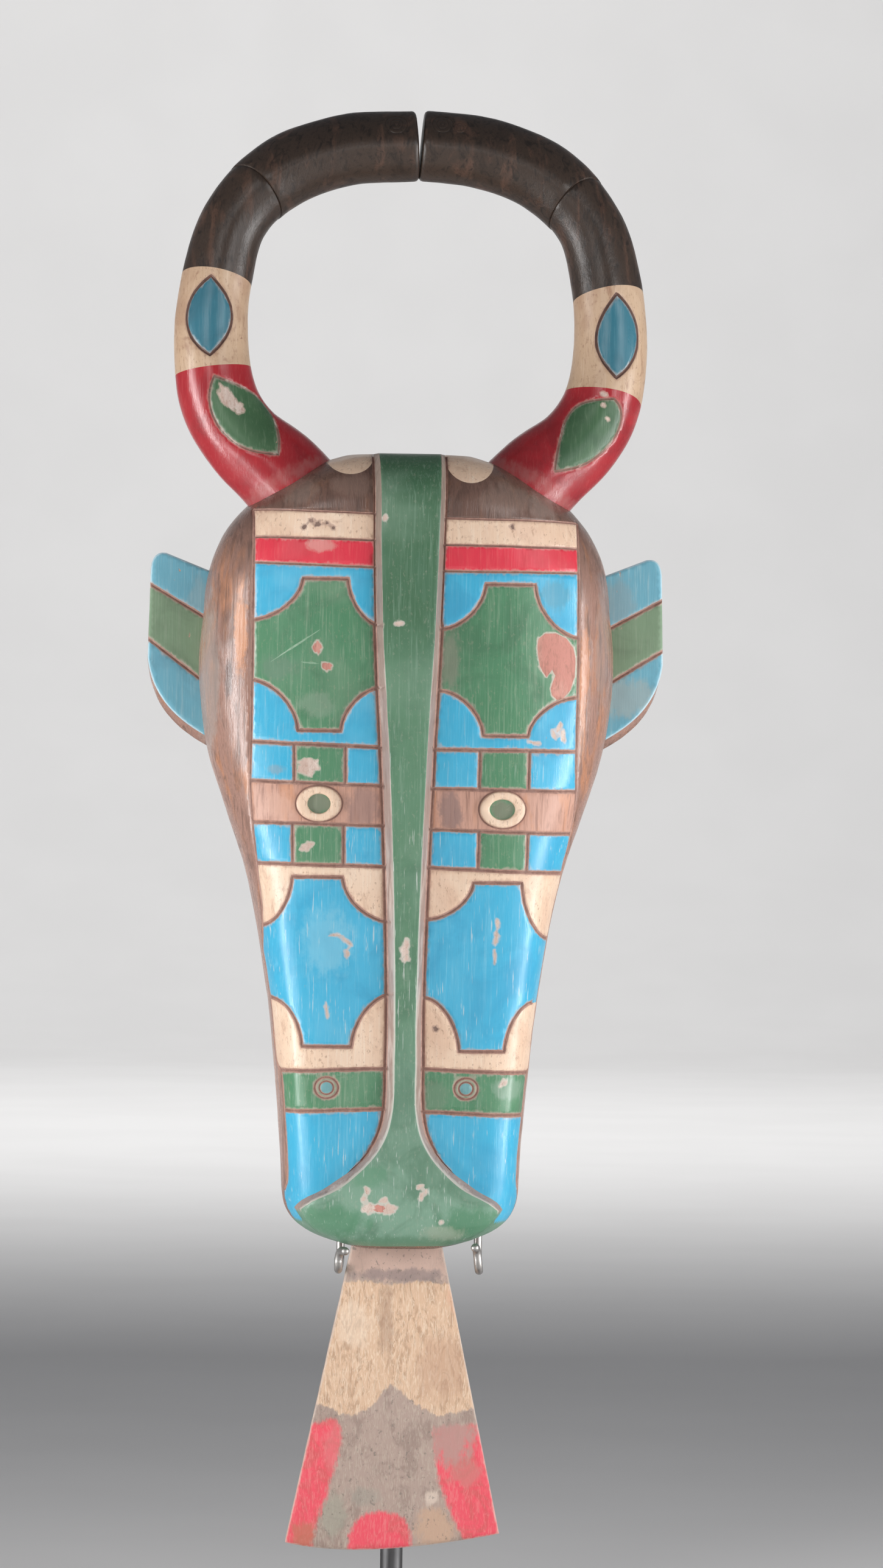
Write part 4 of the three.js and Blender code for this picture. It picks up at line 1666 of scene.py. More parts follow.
@dataclass
class Tongue:
    """Trapezoid board that hangs out of the mouth by a wider head."""

    name: str = "tongue_board"
    centre: float = -2.0
    front_y: float = -57.0
    thickness: float = 9.0
    top_half: float = 31.9
    flare: float = 0.2115
    head_half: float = 38.0
    head_top: float = 36.0
    neck: float = 22.3
    left_low: float = -208.5
    right_low: float = -201.5
    bow: Pair = (-24, -221)
    cream: tuple[Pair, ...] = (
        (-60, -24.6), (-37, -25), (-24, -24.4), (-10, -26.6), (2, -26.2), (16, -23.6), (30, -26),
        (60, -25.6), (60, -112), (49.5, -114.5), (38, -117.4), (27, -118.6), (19, -115),
        (11.5, -109.8), (3, -103), (-4.6, -96.6), (-11, -103), (-16, -110), (-23, -115.5),
        (-31, -119), (-41, -118.4), (-50, -113), (-62, -109.5),
    )
    red_left: tuple[Pair, ...] = (
        (-90, -124), (-58, -124.4), (-52, -121.6), (-45.5, -121.4), (-40.5, -124), (-38.6, -129),
        (-39.4, -140), (-42, -152), (-46, -164), (-49.6, -177), (-54, -190), (-58, -205),
        (-59.5, -230), (-90, -230),
    )
    red_right: tuple[Pair, ...] = (
        (24.8, -126.5), (25.2, -138), (26.6, -152), (29.6, -166.5), (33.5, -176), (37.2, -186),
        (41.6, -196), (46.5, -204.5), (48.5, -230), (90, -230), (90, -127), (56, -123.6), (40, -124.6),
    )
    arch: tuple[Pair, ...] = (
        (-35.6, -230), (-34.6, -212), (-33.4, -203), (-29.5, -194), (-23, -188), (-12, -185.2),
        (-2, -187), (5, -190.4), (9.4, -196), (10.4, -204), (10.6, -230),
    )

    def half(self, z: float) -> float:
        """Half-width at a height."""
        return self.top_half - self.flare * z

    def build(self, finishes: Sequence[Material]) -> Object:
        """Builds the board.

        Args:
            finishes: Front and rim, in that order.

        Returns:
            The board.
        """
        c = self.centre
        low = bezier(
            (c - self.half(self.left_low), self.left_low), [(c + self.bow[0], self.bow[1])],
            (c + self.half(self.right_low), self.right_low), 52,
        )
        neck, head = self.half(self.neck), self.head_half
        corners = [
            (c + self.half(self.right_low), self.right_low), (c + neck, self.neck), (c + head, self.neck),
            (c + head, self.head_top), (c - head, self.head_top), (c - head, self.neck),
            (c - neck, self.neck), (c - self.half(self.left_low), self.left_low),
        ]
        outline = np.concatenate([np.array(low), trace(corners, 2.8)[:-1]])
        painted = {"cream": (self.cream,), "red": (self.red_left, self.red_right, self.arch)}
        areas = {name: [trace(run, LINE_STEP, True) for run in runs] for name, runs in painted.items()}
        board = Plate(
            outline, self.front_y, self.thickness, 0, 1, areas=areas, chamfer=1.3, seed=12,
        ).shell().to_object(self.name, finishes)
        smooth_shade(board, 40)
        return board


# Stand


def stack(made: bmesh.types.BMesh, rings: Sequence[Sequence[bmesh.types.BMVert]]) -> None:
    """Joins rings of points into a closed solid.

    Args:
        made: Mesh that they lie in.
        rings: Rings with as many points each.
    """
    for low, high in zip(rings, rings[1:]):
        for i in range(len(low)):
            j = (i + 1) % len(low)
            made.faces.new((low[i], low[j], high[j], high[i]))
    made.faces.new(rings[0][::-1])
    made.faces.new(rings[-1])


def round_rings(made: bmesh.types.BMesh, middle: Pair, sizes: Sequence[Pair], sides: int) -> list[list]:
    """Level rings of points.

    Args:
        made: Mesh that they are added to.
        middle: Their x and y, in scene mm.
        sizes: Radius and height of each.
        sides: Points in each.

    Returns:
        The rings.
    """
    x, y = middle
    turns = np.arange(sides) * 2 * math.pi / sides
    return [
        [made.verts.new(((x + r * math.cos(a)) * MM, (y + r * math.sin(a)) * MM, z * MM)) for a in turns]
        for r, z in sizes
    ]


def rod(
    made: bmesh.types.BMesh, corners: Sequence[Vector], bend: float, radius: float, sides: int = 24,
) -> None:
    """Adds a round rod with bent corners and domed ends.

    Args:
        made: Mesh that it is added to.
        corners: Ends and corners of its middle line, in scene metres.
        bend: How far from a corner a bend starts.
        radius: Radius of the rod.
        sides: Sides of its section.
    """
    line = [corners[0]]
    for before, corner, after in zip(corners, corners[1:], corners[2:]):
        start = corner + (before - corner).normalized() * bend
        end = corner + (after - corner).normalized() * bend
        line += [start.lerp(corner, t).lerp(corner.lerp(end, t), t) for t in np.linspace(0, 1, 9)]
    line.append(corners[-1])
    first, last = ((line[i] - line[j]).normalized() * radius for i, j in ((0, 1), (-1, -2)))
    turns = np.linspace(0, math.pi / 2, 6)[1:]
    dome = [radius * max(math.cos(turn), 0.02) for turn in turns]
    sizes = [*dome[::-1], *[radius] * len(line), *dome]
    spots = [line[0] + first * math.sin(turn) for turn in turns[::-1]] + line
    spots += [line[-1] + last * math.sin(turn) for turn in turns]
    across = Vector((0.31, 0.17, 0.93))
    rings = []
    for i, (spot, size) in enumerate(zip(spots, sizes)):
        along = (spots[min(i + 1, len(spots) - 1)] - spots[max(i - 1, 0)]).normalized()
        across = (across - along * across.dot(along)).normalized()
        upward = along.cross(across)
        rings.append([
            made.verts.new(spot + size * (across * math.cos(a) + upward * math.sin(a)))
            for a in np.arange(sides) * 2 * math.pi / sides
        ])
    stack(made, rings)


def finish_bmesh(made: bmesh.types.BMesh, name: str, *finishes: Material) -> Object:
    """Turns a bmesh into a smooth-shaded object with its finishes.

    Args:
        made: Mesh, used up.
        name: Its name.
        finishes: Materials, in slot order.

    Returns:
        The object.
    """
    bmesh.ops.recalc_face_normals(made, faces=made.faces)
    mesh = bpy.data.meshes.new(name)
    made.to_mesh(mesh)
    made.free()
    piece = linked(name, mesh, finishes)
    smooth_shade(piece, 35)
    return piece


@dataclass
class Cradle:
    """Post with two bent prongs under the muzzle and a rest in the hollow."""

    form: HeadForm
    name: str = "cradle_rods"
    post_radius: float = 8.0
    post_y: float = 14.0
    post_top: float = 405.0
    post_low: float = -269.7
    prong_radius: float = 2.9
    prongs: tuple[Four, ...] = ((-39.2, -43.8, -43.5, -39.5), (59, 55, 53, 51.2))
    join_height: float = 34.0
    run_height: float = -16.0
    leg_y: float = -72.0
    tab_y: float = -86.0
    bend: float = 9.0
    rest_radius: float = 5.0
    bar_radius: float = 4.0
    bar_half: float = 30.0
    front_wall: float = 24.0
    gap: float = 0.3

    def scene(self, x: float, y: float, z: float) -> Vector:
        """Mask-frame place as a scene vector."""
        return Vector((x * MM, (y + BACK_RIM_Y) * MM, (z + CHIN_HEIGHT) * MM))

    def tab_height(self, x: float) -> float:
        """Height of the tab just under the muzzle's edge.

        Args:
            x: Sideways place.

        Returns:
            The height.
        """
        z = np.linspace(0, 50, 2001)
        touching = z[np.argmax(self.form.half_width(z) >= abs(x) + self.prong_radius / 2)]
        return float(touching) - self.prong_radius - self.gap

    def build(self, bright: Material, dark: Material) -> Object:
        """Builds the bright prongs and rest and the dark post as one welded piece.

        Args:
            bright: Finish of the prongs.
            dark: Finish of the post.

        Returns:
            The piece.
        """
        made = bmesh.new()
        r, low, top = self.post_radius, self.post_low + CHIN_HEIGHT, self.post_top + CHIN_HEIGHT
        sizes = ((r * 0.94, low), (r, low + 0.6), (r, top - 1.4), (r - 0.5, top - 0.4), (r - 1.4, top))
        stack(made, round_rings(made, (0, self.post_y + BACK_RIM_Y), sizes, 40))
        for face in made.faces:
            face.material_index = 1
        for back_x, foot_x, leg_x, tab_x in self.prongs:
            tab = self.tab_height(tab_x)
            start = math.copysign(self.post_radius * 0.4, back_x)
            corners = [self.scene(*spot) for spot in (
                (start, self.post_y, self.join_height), (back_x, self.post_y, self.join_height),
                (back_x, self.post_y, self.run_height), (foot_x, self.leg_y, self.run_height),
                (leg_x, self.leg_y, tab), (tab_x, self.tab_y + self.prong_radius * 0.3, tab),
            )]
            rod(made, corners, self.bend * MM, self.prong_radius * MM)
        arm_z = self.post_top - self.rest_radius
        z = np.array([self.post_top])
        reach = float(self.form.dome(0, z, self.form.half_width(z), self.form.depth(z) - self.front_wall)[0])
        bar_y = reach + self.bar_radius + self.gap + 1
        arm = [self.scene(0, y, arm_z) for y in (self.post_y, bar_y + 2)]
        rod(made, arm, 0, self.rest_radius * MM)
        half = self.bar_half - self.bar_radius
        rod(made, [self.scene(x, bar_y, arm_z) for x in (-half, half)], 0, self.bar_radius * MM)
        return finish_bmesh(made, self.name, bright, dark)


@dataclass
class Foot:
    """Plate that the post stands on, with a round boss."""

    name: str = "foot_plate"
    width: float = 300.0
    depth: float = 240.0
    thickness: float = 10.0
    corner: float = 14.0
    chamfer: float = 1.2
    boss_radius: float = 18.0
    boss: float = 6.0
    boss_y: float = 62.0

    def build(self, finish: Material) -> Object:
        """Builds the plate and boss.

        Args:
            finish: Its finish.

        Returns:
            The piece.
        """
        made = bmesh.new()
        c, t = self.chamfer, self.thickness
        rings = []
        for inset, z in ((c * 0.5, 0), (0, c * 0.5), (0, t - c), (c * 0.3, t - c * 0.3), (c, t)):
            ring, r = [], self.corner - inset
            for number, (sx, sy) in enumerate(((1, -1), (1, 1), (-1, 1), (-1, -1))):
                x, y = sx * (self.width / 2 - self.corner), sy * (self.depth / 2 - self.corner)
                for i in range(13):
                    a = (number - 1 + i / 12) * math.pi / 2
                    spot = (x + r * math.cos(a), y + r * math.sin(a), z)
                    ring.append(made.verts.new([MM * part for part in spot]))
            rings.append(ring)
        r, top = self.boss_radius, t + self.boss
        sizes = ((r, t - 1), (r, t + 0.1), (r, top - 1.2), (r - 0.4, top - 0.4), (r - 1.2, top))
        boss = round_rings(made, (0, self.boss_y), sizes, 64)
        stack(made, rings)
        stack(made, boss)
        return finish_bmesh(made, self.name, finish)


# Finishes


@dataclass(frozen=True)
class WearAndLightSpot:
    """Soft-edged spot of colour: middle, reaches, colour and share. Most are worn places; some are painted
    shadow, painted shade, painted highlight, painted sheen and painted light.
    """

    x: float
    z: float
    reach_x: float
    reach_z: float
    colour: Colour
    share: float


def shades(*parts: tuple[float, Colour]) -> Colour:
    """Colour summed from shares of others."""
    return tuple(sum(share * colour[i] for share, colour in parts) for i in range(3))


class Recipe:
    """Builds one node material step by step. Sizes are in scene metres."""

    def __init__(
        self, name: str, colour: Colour, roughness: float, metallic: float = 0.0, shine: float = 0.5,
    ) -> None:
        """Starts a material.

        Args:
            name: Its name.
            colour: Colour that the others go over.
            roughness: Roughness until a pattern is joined.
            metallic: Metal share.
            shine: Strength of its reflection.
        """
        self.colour: Socket | Colour = colour
        self.material = bpy.data.materials.new(name)
        self.material.use_nodes = True
        self.tree = self.material.node_tree
        self.shader = self.tree.nodes["Principled BSDF"]
        self.shader.inputs["Roughness"].default_value = roughness
        self.shader.inputs["Metallic"].default_value = metallic
        self.shader.inputs["Specular IOR Level"].default_value = shine
        self.place = self.tree.nodes.new("ShaderNodeTexCoord").outputs["Object"]

    def node(self, kind: str, **inputs: object) -> bpy.types.Node:
        """Adds a node.

        Args:
            kind: Its type, without the ShaderNode prefix.
            inputs: Socket names, blanks as underscores, with a value or a socket.

        Returns:
            The node.
        """
        made = self.tree.nodes.new("ShaderNode" + kind)
        for key, value in inputs.items():
            socket = made.inputs[int(key[1:])] if key[0] == "_" else made.inputs[key.replace("_", " ")]
            if isinstance(value, Socket):
                self.tree.links.new(value, socket)
            else:
                socket.default_value = value
        return made

    def cloud(
        self, scale: float | Triple, detail: float = 3.0, rough: float = 0.55,
        warp: float = 0.0, shift: float = 0.0,
    ) -> Socket:
        """Cloudy pattern from 0 to 1.

        Args:
            scale: Waves per metre, or one number for each axis.
            detail: How many finer layers.
            rough: Weight of the finer layers.
            warp: How much it is pulled about.
            shift: Offset that picks another part of the pattern.

        Returns:
            The pattern's socket.
        """
        stretch = scale if isinstance(scale, tuple) else (scale, scale, scale)
        spot = self.node("Mapping", Vector=self.place, Scale=stretch, Location=(shift, shift * 0.7, -shift))
        made = self.node(
            "TexNoise", Vector=spot.outputs[0], Scale=1, Detail=detail, Roughness=rough, Distortion=warp,
        )
        return made.outputs["Fac"]

    def window(self, value: Socket, low: float, high: float, top: float = 1.0) -> Socket:
        """Share that rises from 0 at low to top at high, smoothly.

        Args:
            value: Pattern.
            low: Where it starts.
            high: Where it ends.
            top: Share past the end.

        Returns:
            The share.
        """
        made = self.node("MapRange", Value=value, From_Min=low, From_Max=high, To_Min=0, To_Max=top)
        made.interpolation_type = "SMOOTHSTEP"
        return made.outputs[0]

    def near(self, name: str, raggedness: float = 0.0) -> Socket:
        """Value stored at the points, with an uneven edge.

        Args:
            name: Name of the stored value.
            raggedness: How uneven the edge is.

        Returns:
            The value.
        """
        made = self.node("Attribute")
        made.attribute_name = name
        if not raggedness:
            return made.outputs["Fac"]
        cloud = self.cloud((300, 200, 150), 4, 0.6, shift=17)
        uneven = self.sum("MULTIPLY_ADD", cloud, raggedness, -raggedness / 2)
        return self.sum("ADD", made.outputs["Fac"], uneven)

    def rising(self, low: float, high: float, top: float = 1.0) -> Socket:
        """Share that rises between two heights in mm, uneven by a centimetre or two.

        Args:
            low: Height where it is 0.
            high: Height where it is full.
            top: Full share.

        Returns:
            The share.
        """
        uneven = self.sum("MULTIPLY_ADD", self.cloud(40, 3, shift=1), 0.05, -0.025)
        height = self.sum("ADD", self.node("SeparateXYZ", Vector=self.place).outputs[2], uneven)
        return self.window(height, (low + CHIN_HEIGHT) * MM, (high + CHIN_HEIGHT) * MM, top)

    def sum(self, operation: str, *values: Socket | float) -> Socket:
        """Result of a sum on one to three values.

        Args:
            operation: Name of the operation.
            values: Numbers or sockets.

        Returns:
            The result.
        """
        made = self.node("Math", **{f"_{i}": value for i, value in enumerate(values)})
        made.operation = operation
        return made.outputs[0]

    def mix(self, share: Socket | float, first: Socket | Colour, second: Socket | Colour) -> Socket:
        """Colour between two.

        Args:
            share: Share of the second.
            first: Colour at 0.
            second: Colour at 1.

        Returns:
            The colour.
        """
        made = self.tree.nodes.new("ShaderNodeMix")
        made.data_type = "RGBA"
        for number, value in ((0, share), (6, first), (7, second)):
            if isinstance(value, Socket):
                self.tree.links.new(value, made.inputs[number])
            else:
                made.inputs[number].default_value = (*value, 1) if isinstance(value, tuple) else value
        return made.outputs[2]

    def coat(self, share: Socket, colour: Socket | Colour) -> None:
        """Lays a colour over what is there, by share."""
        self.colour = self.mix(share, self.colour, colour)

    def lay(self, colour: Colour, pattern: Socket, low: float, high: float, top: float = 1.0) -> None:
        """Lays a colour where a pattern is between low and high or past high."""
        self.coat(self.window(pattern, low, high, top), colour)

    def lay_wear_and_light(self, wear_and_light_spots: Sequence[WearAndLightSpot]) -> None:
        """Lays soft-edged spots of colour: worn places, and some painted shadow, shade, highlight, sheen and
        light.

        Args:
            wear_and_light_spots: The places.
        """
        for lay_wear_and_light in wear_and_light_spots:
            scale = (1 / (lay_wear_and_light.reach_x * MM), 0, 1 / (lay_wear_and_light.reach_z * MM))
            middle = (-lay_wear_and_light.x / lay_wear_and_light.reach_x, 0, -(lay_wear_and_light.z + CHIN_HEIGHT) / lay_wear_and_light.reach_z)
            spot = self.node("Mapping", Vector=self.place, Scale=scale, Location=middle)
            apart = self.node("VectorMath", _0=spot.outputs[0])
            apart.operation = "LENGTH"
            cloud = self.cloud((150, 90, 85), 5, 0.7, shift=lay_wear_and_light.x)
            edge = self.sum("MULTIPLY_ADD", cloud, 1.8, -0.9)
            self.lay(lay_wear_and_light.colour, self.sum("ADD", apart.outputs["Value"], edge), 1.15, 0.55, lay_wear_and_light.share)

    def bump(self, height: Socket, size: float, strength: float = 1.0) -> None:
        """Joins a height pattern to the shader, with its full height in metres."""
        made = self.node("Bump", Height=height, Distance=size, Strength=strength)
        self.tree.links.new(made.outputs[0], self.shader.inputs["Normal"])

    def finish(self, roughness: Socket | None = None) -> Material:
        """Joins the colour and any roughness pattern to the shader.

        Args:
            roughness: Pattern, if it has one.

        Returns:
            The material.
        """
        self.tree.links.new(self.colour, self.shader.inputs["Base Color"])
        if roughness is not None:
            self.tree.links.new(roughness, self.shader.inputs["Roughness"])
        return self.material


@dataclass(frozen=True)
class Paint:
    """Old brushed paint on wood."""

    name: str
    colour: Colour
    light: Colour
    dark: Colour
    under: Colour = (0.5, 0.32, 0.24)
    streak: float = 0.55
    flake: float = 0.7
    gloss: float = 0.42
    smoky: bool = False
    wear_and_light_spots: tuple[WearAndLightSpot, ...] = ()
    speckle: float = 0.0
    steps: tuple[tuple[float, float, Colour], ...] = ()
    fray: float = 0.55
    shine: float = 0.5
    frayed: Colour = (0.56, 0.43, 0.37)
    chipped: Colour | None = None
    footed: Colour | None = None
    rim_wear_and_highlight: Colour | None = None
    stain: float = 0.0
    scuff: float = 0.0

    def make(self) -> Material:
        """Builds the material.

        Returns:
            The material.
        """
        r = Recipe(self.name, self.colour, self.gloss, shine=self.shine)
        for low, high, shade in self.steps:
            r.coat(r.rising(low, high), shade)
        streaks = r.cloud((620, 260, 24), 4, 0.6, 0.6)
        hair = r.cloud((1500, 700, 60), 2, 0.5, 0.3, shift=3)
        patchy = r.cloud(26, 4, 0.6, 0.8, shift=7)
        r.lay(self.light, streaks, 0.5, 0.74, self.streak)
        r.lay(self.light, hair, 0.6, 0.72, self.streak * 0.55)
        r.lay(self.dark, patchy, 0.46, 0.72, 0.6)
        r.lay(self.light, r.cloud(17, 3, 0.5, 0.5, shift=-5), 0.52, 0.78, 0.35)
        if self.speckle:
            r.lay(self.under, r.cloud((520, 520, 260), 3, 0.7, shift=2), 0.57, 0.68, self.speckle)
        if self.stain:
            stains = r.cloud((90, 60, 45), 5, 0.7, 1.4, shift=23)
            r.lay(shades((0.5, self.dark), (0.5, self.under)), stains, 0.53, 0.7, self.stain)
        if self.scuff:
            lines = r.window(r.cloud((800, 500, 36), 3, 0.55, 0.15, shift=31), 0.63, 0.7, self.scuff)
            r.coat(r.sum("MULTIPLY", lines, r.rising(430, 270)), (0.72, 0.74, 0.7))
        r.lay_wear_and_light(self.wear_and_light_spots)
        flakes = r.cloud((260, 160, 120), 4, 0.65, 0.2, shift=11)
        flaked = r.window(flakes, self.flake, self.flake + 0.03, 0.85)
        r.coat(flaked, self.under)
        if self.smoky:
            r.lay((0.42, 0.15, 0.14), r.near("smoke", 0.6), 0.72, 1.1, 0.6)
        if self.chipped:
            r.lay(self.chipped, r.near("chip", 1.1), 0.44, 0.9, 0.7)
        if self.footed:
            low = r.rising(110, 70)
            r.coat(r.sum("MULTIPLY", r.window(r.near("worn", 0.45), 0.12, 0.55, 0.75), low), self.footed)
        # Pale rim round the ear: partly worn edge, partly painted highlight where the chamfer catches light.
        if self.rim_wear_and_highlight:
            r.lay(self.rim_wear_and_highlight, r.near("worn", 0.4), 0.62, 0.9, 0.75)
        if self.fray:
            r.lay(self.frayed, r.near("groove", 0.9), 0.26, 0.58, self.fray)
        height = r.sum("MULTIPLY_ADD", flaked, -0.5, r.sum("MULTIPLY", streaks, 0.6))
        r.bump(r.sum("MULTIPLY_ADD", hair, 0.35, height), 0.00022, 0.8)
        return r.finish(r.sum("MULTIPLY_ADD", patchy, 0.26, self.gloss - 0.11))


@dataclass(frozen=True)
class Wood:
    """Bare, handled wood."""

    name: str
    colour: Colour
    warm: Colour
    dark: Colour
    grain: float = 0.55
    warmth: float = 0.6
    gloss: float = 0.5
    darker_up: tuple[float, float, Colour] | None = None
    wear_and_light_spots: tuple[WearAndLightSpot, ...] = ()
    along: Triple = (330, 170, 17)
    dark_line_and_shade: Colour | None = None
    worn: Colour | None = None
    shine: float = 0.4

    def make(self) -> Material:
        """Builds the material.

        Returns:
            The material.
        """
        r = Recipe(self.name, self.colour, self.gloss, shine=self.shine)
        grain = r.cloud(self.along, 5, 0.62, 0.9)
        fine = r.cloud(tuple(a * 4 for a in self.along), 3, 0.6, 0.2, shift=4)
        stains = r.cloud((30, 22, 13), 4, 0.62, 1.1, shift=9)
        warm = r.cloud((75, 60, 15), 4, 0.6, 0.8, shift=-6)
        r.lay(self.warm, warm, 0.5, 0.68, self.warmth)
        r.lay(self.dark, grain, 0.48, 0.7, self.grain)
        r.lay(self.dark, fine, 0.52, 0.72, self.grain * 0.6)
        r.lay(self.dark, stains, 0.54, 0.74, 0.55)
        if self.darker_up:
            low, high, shade = self.darker_up
            rising = r.rising(low, high, 0.92)
            dim = r.mix(r.window(grain, 0.42, 0.66, 0.55), shade, shades((0.45, shade)))
            dim = r.mix(r.window(warm, 0.52, 0.72, 0.4), dim, shades((0.6, shade), (0.25, self.warm)))
            r.coat(rising, dim)
        r.lay_wear_and_light(self.wear_and_light_spots)
        # The dark middle of a groove is partly a dark line in the wood and partly painted shade in the
        # recess.
        if self.dark_line_and_shade:
            r.lay(self.dark_line_and_shade, r.near("groove", 0.8), 0.6, 1.02, 0.8)
        if self.worn:
            fading = r.rising(330, 180, 0.9)
            r.coat(r.sum("MULTIPLY", r.window(r.near("worn", 0.5), 0.6, 0.84), fading), self.worn)
        r.bump(r.sum("MULTIPLY_ADD", fine, -0.5, r.sum("MULTIPLY", grain, -0.8)), 0.0003, 0.8)
        return r.finish(r.sum("MULTIPLY_ADD", grain, 0.3, self.gloss - 0.13))


@dataclass(frozen=True)
class TonguePaint:
    """Cream and red areas with soft, worn edges on a bare grey-brown board."""

    name: str = "tongue_front"
    ground: tuple[Colour, Colour, Colour] = ((0.42, 0.31, 0.26), (0.3, 0.215, 0.18), (0.53, 0.44, 0.36))
    cream: tuple[Colour, Colour, Colour] = ((0.68, 0.46, 0.31), (0.44, 0.27, 0.17), (0.86, 0.7, 0.54))
    red: tuple[Colour, Colour, Colour] = ((0.84, 0.075, 0.115), (0.64, 0.1, 0.1), (0.84, 0.24, 0.24))
    ground_wear_and_light: tuple[WearAndLightSpot, ...] = (
        # The pale spot at the top, at z -8, is painted light that lifts the board where the muzzle shades it.
        WearAndLightSpot(0, -8, 50, 16, (0.66, 0.46, 0.38), 0.8), WearAndLightSpot(2, -20, 36, 5, (0.27, 0.21, 0.2), 0.7),
        WearAndLightSpot(24, -176, 5, 6, (0.78, 0.64, 0.53), 0.6), WearAndLightSpot(27, -198, 16, 15, (0.58, 0.37, 0.25), 0.75),
        WearAndLightSpot(-44, -190, 11, 18, (0.32, 0.33, 0.26), 0.55), WearAndLightSpot(-24, -176, 12, 8, (0.29, 0.3, 0.25), 0.4),
    )
    cream_rubs: tuple[WearAndLightSpot, ...] = (
        WearAndLightSpot(-9, -52, 6, 34, (0.36, 0.23, 0.16), 0.5), WearAndLightSpot(31, -86, 20, 26, (0.5, 0.3, 0.2), 0.5),
        WearAndLightSpot(-32, -56, 14, 18, (0.84, 0.68, 0.53), 0.4), WearAndLightSpot(40, -34, 8, 12, (0.66, 0.34, 0.22), 0.4),
    )
    red_rubs: tuple[WearAndLightSpot, ...] = (
        WearAndLightSpot(-64, -204, 12, 12, (0.5, 0.17, 0.1), 0.7), WearAndLightSpot(-44, -140, 9, 20, (0.7, 0.2, 0.2), 0.5),
        WearAndLightSpot(38, -132, 19, 24, (0.44, 0.29, 0.25), 0.85), WearAndLightSpot(48, -158, 12, 12, (0.56, 0.22, 0.19), 0.6),
    )

    def make(self) -> Material:
        """Builds the material.

        Returns:
            The material.
        """
        r = Recipe(self.name, self.ground[0], 0.6)
        blotch = r.cloud((60, 60, 48), 5, 0.65, 1, shift=3)
        swirl = r.cloud((130, 130, 36), 5, 0.65, 2.4, shift=8)
        hair = r.cloud((620, 620, 110), 3, 0.6, 1.8, shift=13)
        layers = []
        for colours, wear_and_light_spots in (
            (self.ground, self.ground_wear_and_light), (self.cream, self.cream_rubs), (self.red, self.red_rubs),
        ):
            r.colour = colours[0]
            r.lay(colours[1], swirl if colours is self.cream else blotch, 0.46, 0.62, 0.75)
            r.lay(colours[2], hair, 0.46, 0.66, 0.55)
            r.lay_wear_and_light(wear_and_light_spots)
            layers.append(r.colour)
        r.colour, cream, red = layers
        r.lay((0.16, 0.14, 0.12), r.cloud((420, 420, 300), 3, 0.6, shift=19), 0.61, 0.68, 0.55)
        r.lay(cream, r.near("cream", 0.9), -0.1, 0.12)
        r.lay(red, r.near("red", 0.8), -0.16, 0.26, 0.96)
        r.lay((0.6, 0.5, 0.43), r.near("worn", 0.8), 0.66, 1, 0.6)
        r.bump(r.sum("MULTIPLY_ADD", hair, 0.5, r.sum("MULTIPLY", swirl, 0.7)), 0.00035, 0.8)
        return r.finish(r.sum("MULTIPLY_ADD", blotch, 0.2, 0.52))


@dataclass(frozen=True)
class Steel:
    """Brushed steel bar or plate."""

    name: str
    colour: Colour
    gloss: float
    brush: Triple

    def make(self) -> Material:
        """Builds the material.

        Returns:
            The material.
        """
        r = Recipe(self.name, self.colour, self.gloss, 1)
        lines = r.cloud(self.brush, 3, 0.6)
        smears = r.cloud(28, 3, 0.5, 0.6, shift=5)
        r.lay(shades((0.72, self.colour)), lines, 0.35, 0.7, 0.5)
        r.lay(shades((0.6, self.colour)), smears, 0.5, 0.8, 0.35)
        r.bump(lines, 0.00005, 0.7)
        return r.finish(r.sum("MULTIPLY_ADD", smears, 0.24, self.gloss - 0.1))


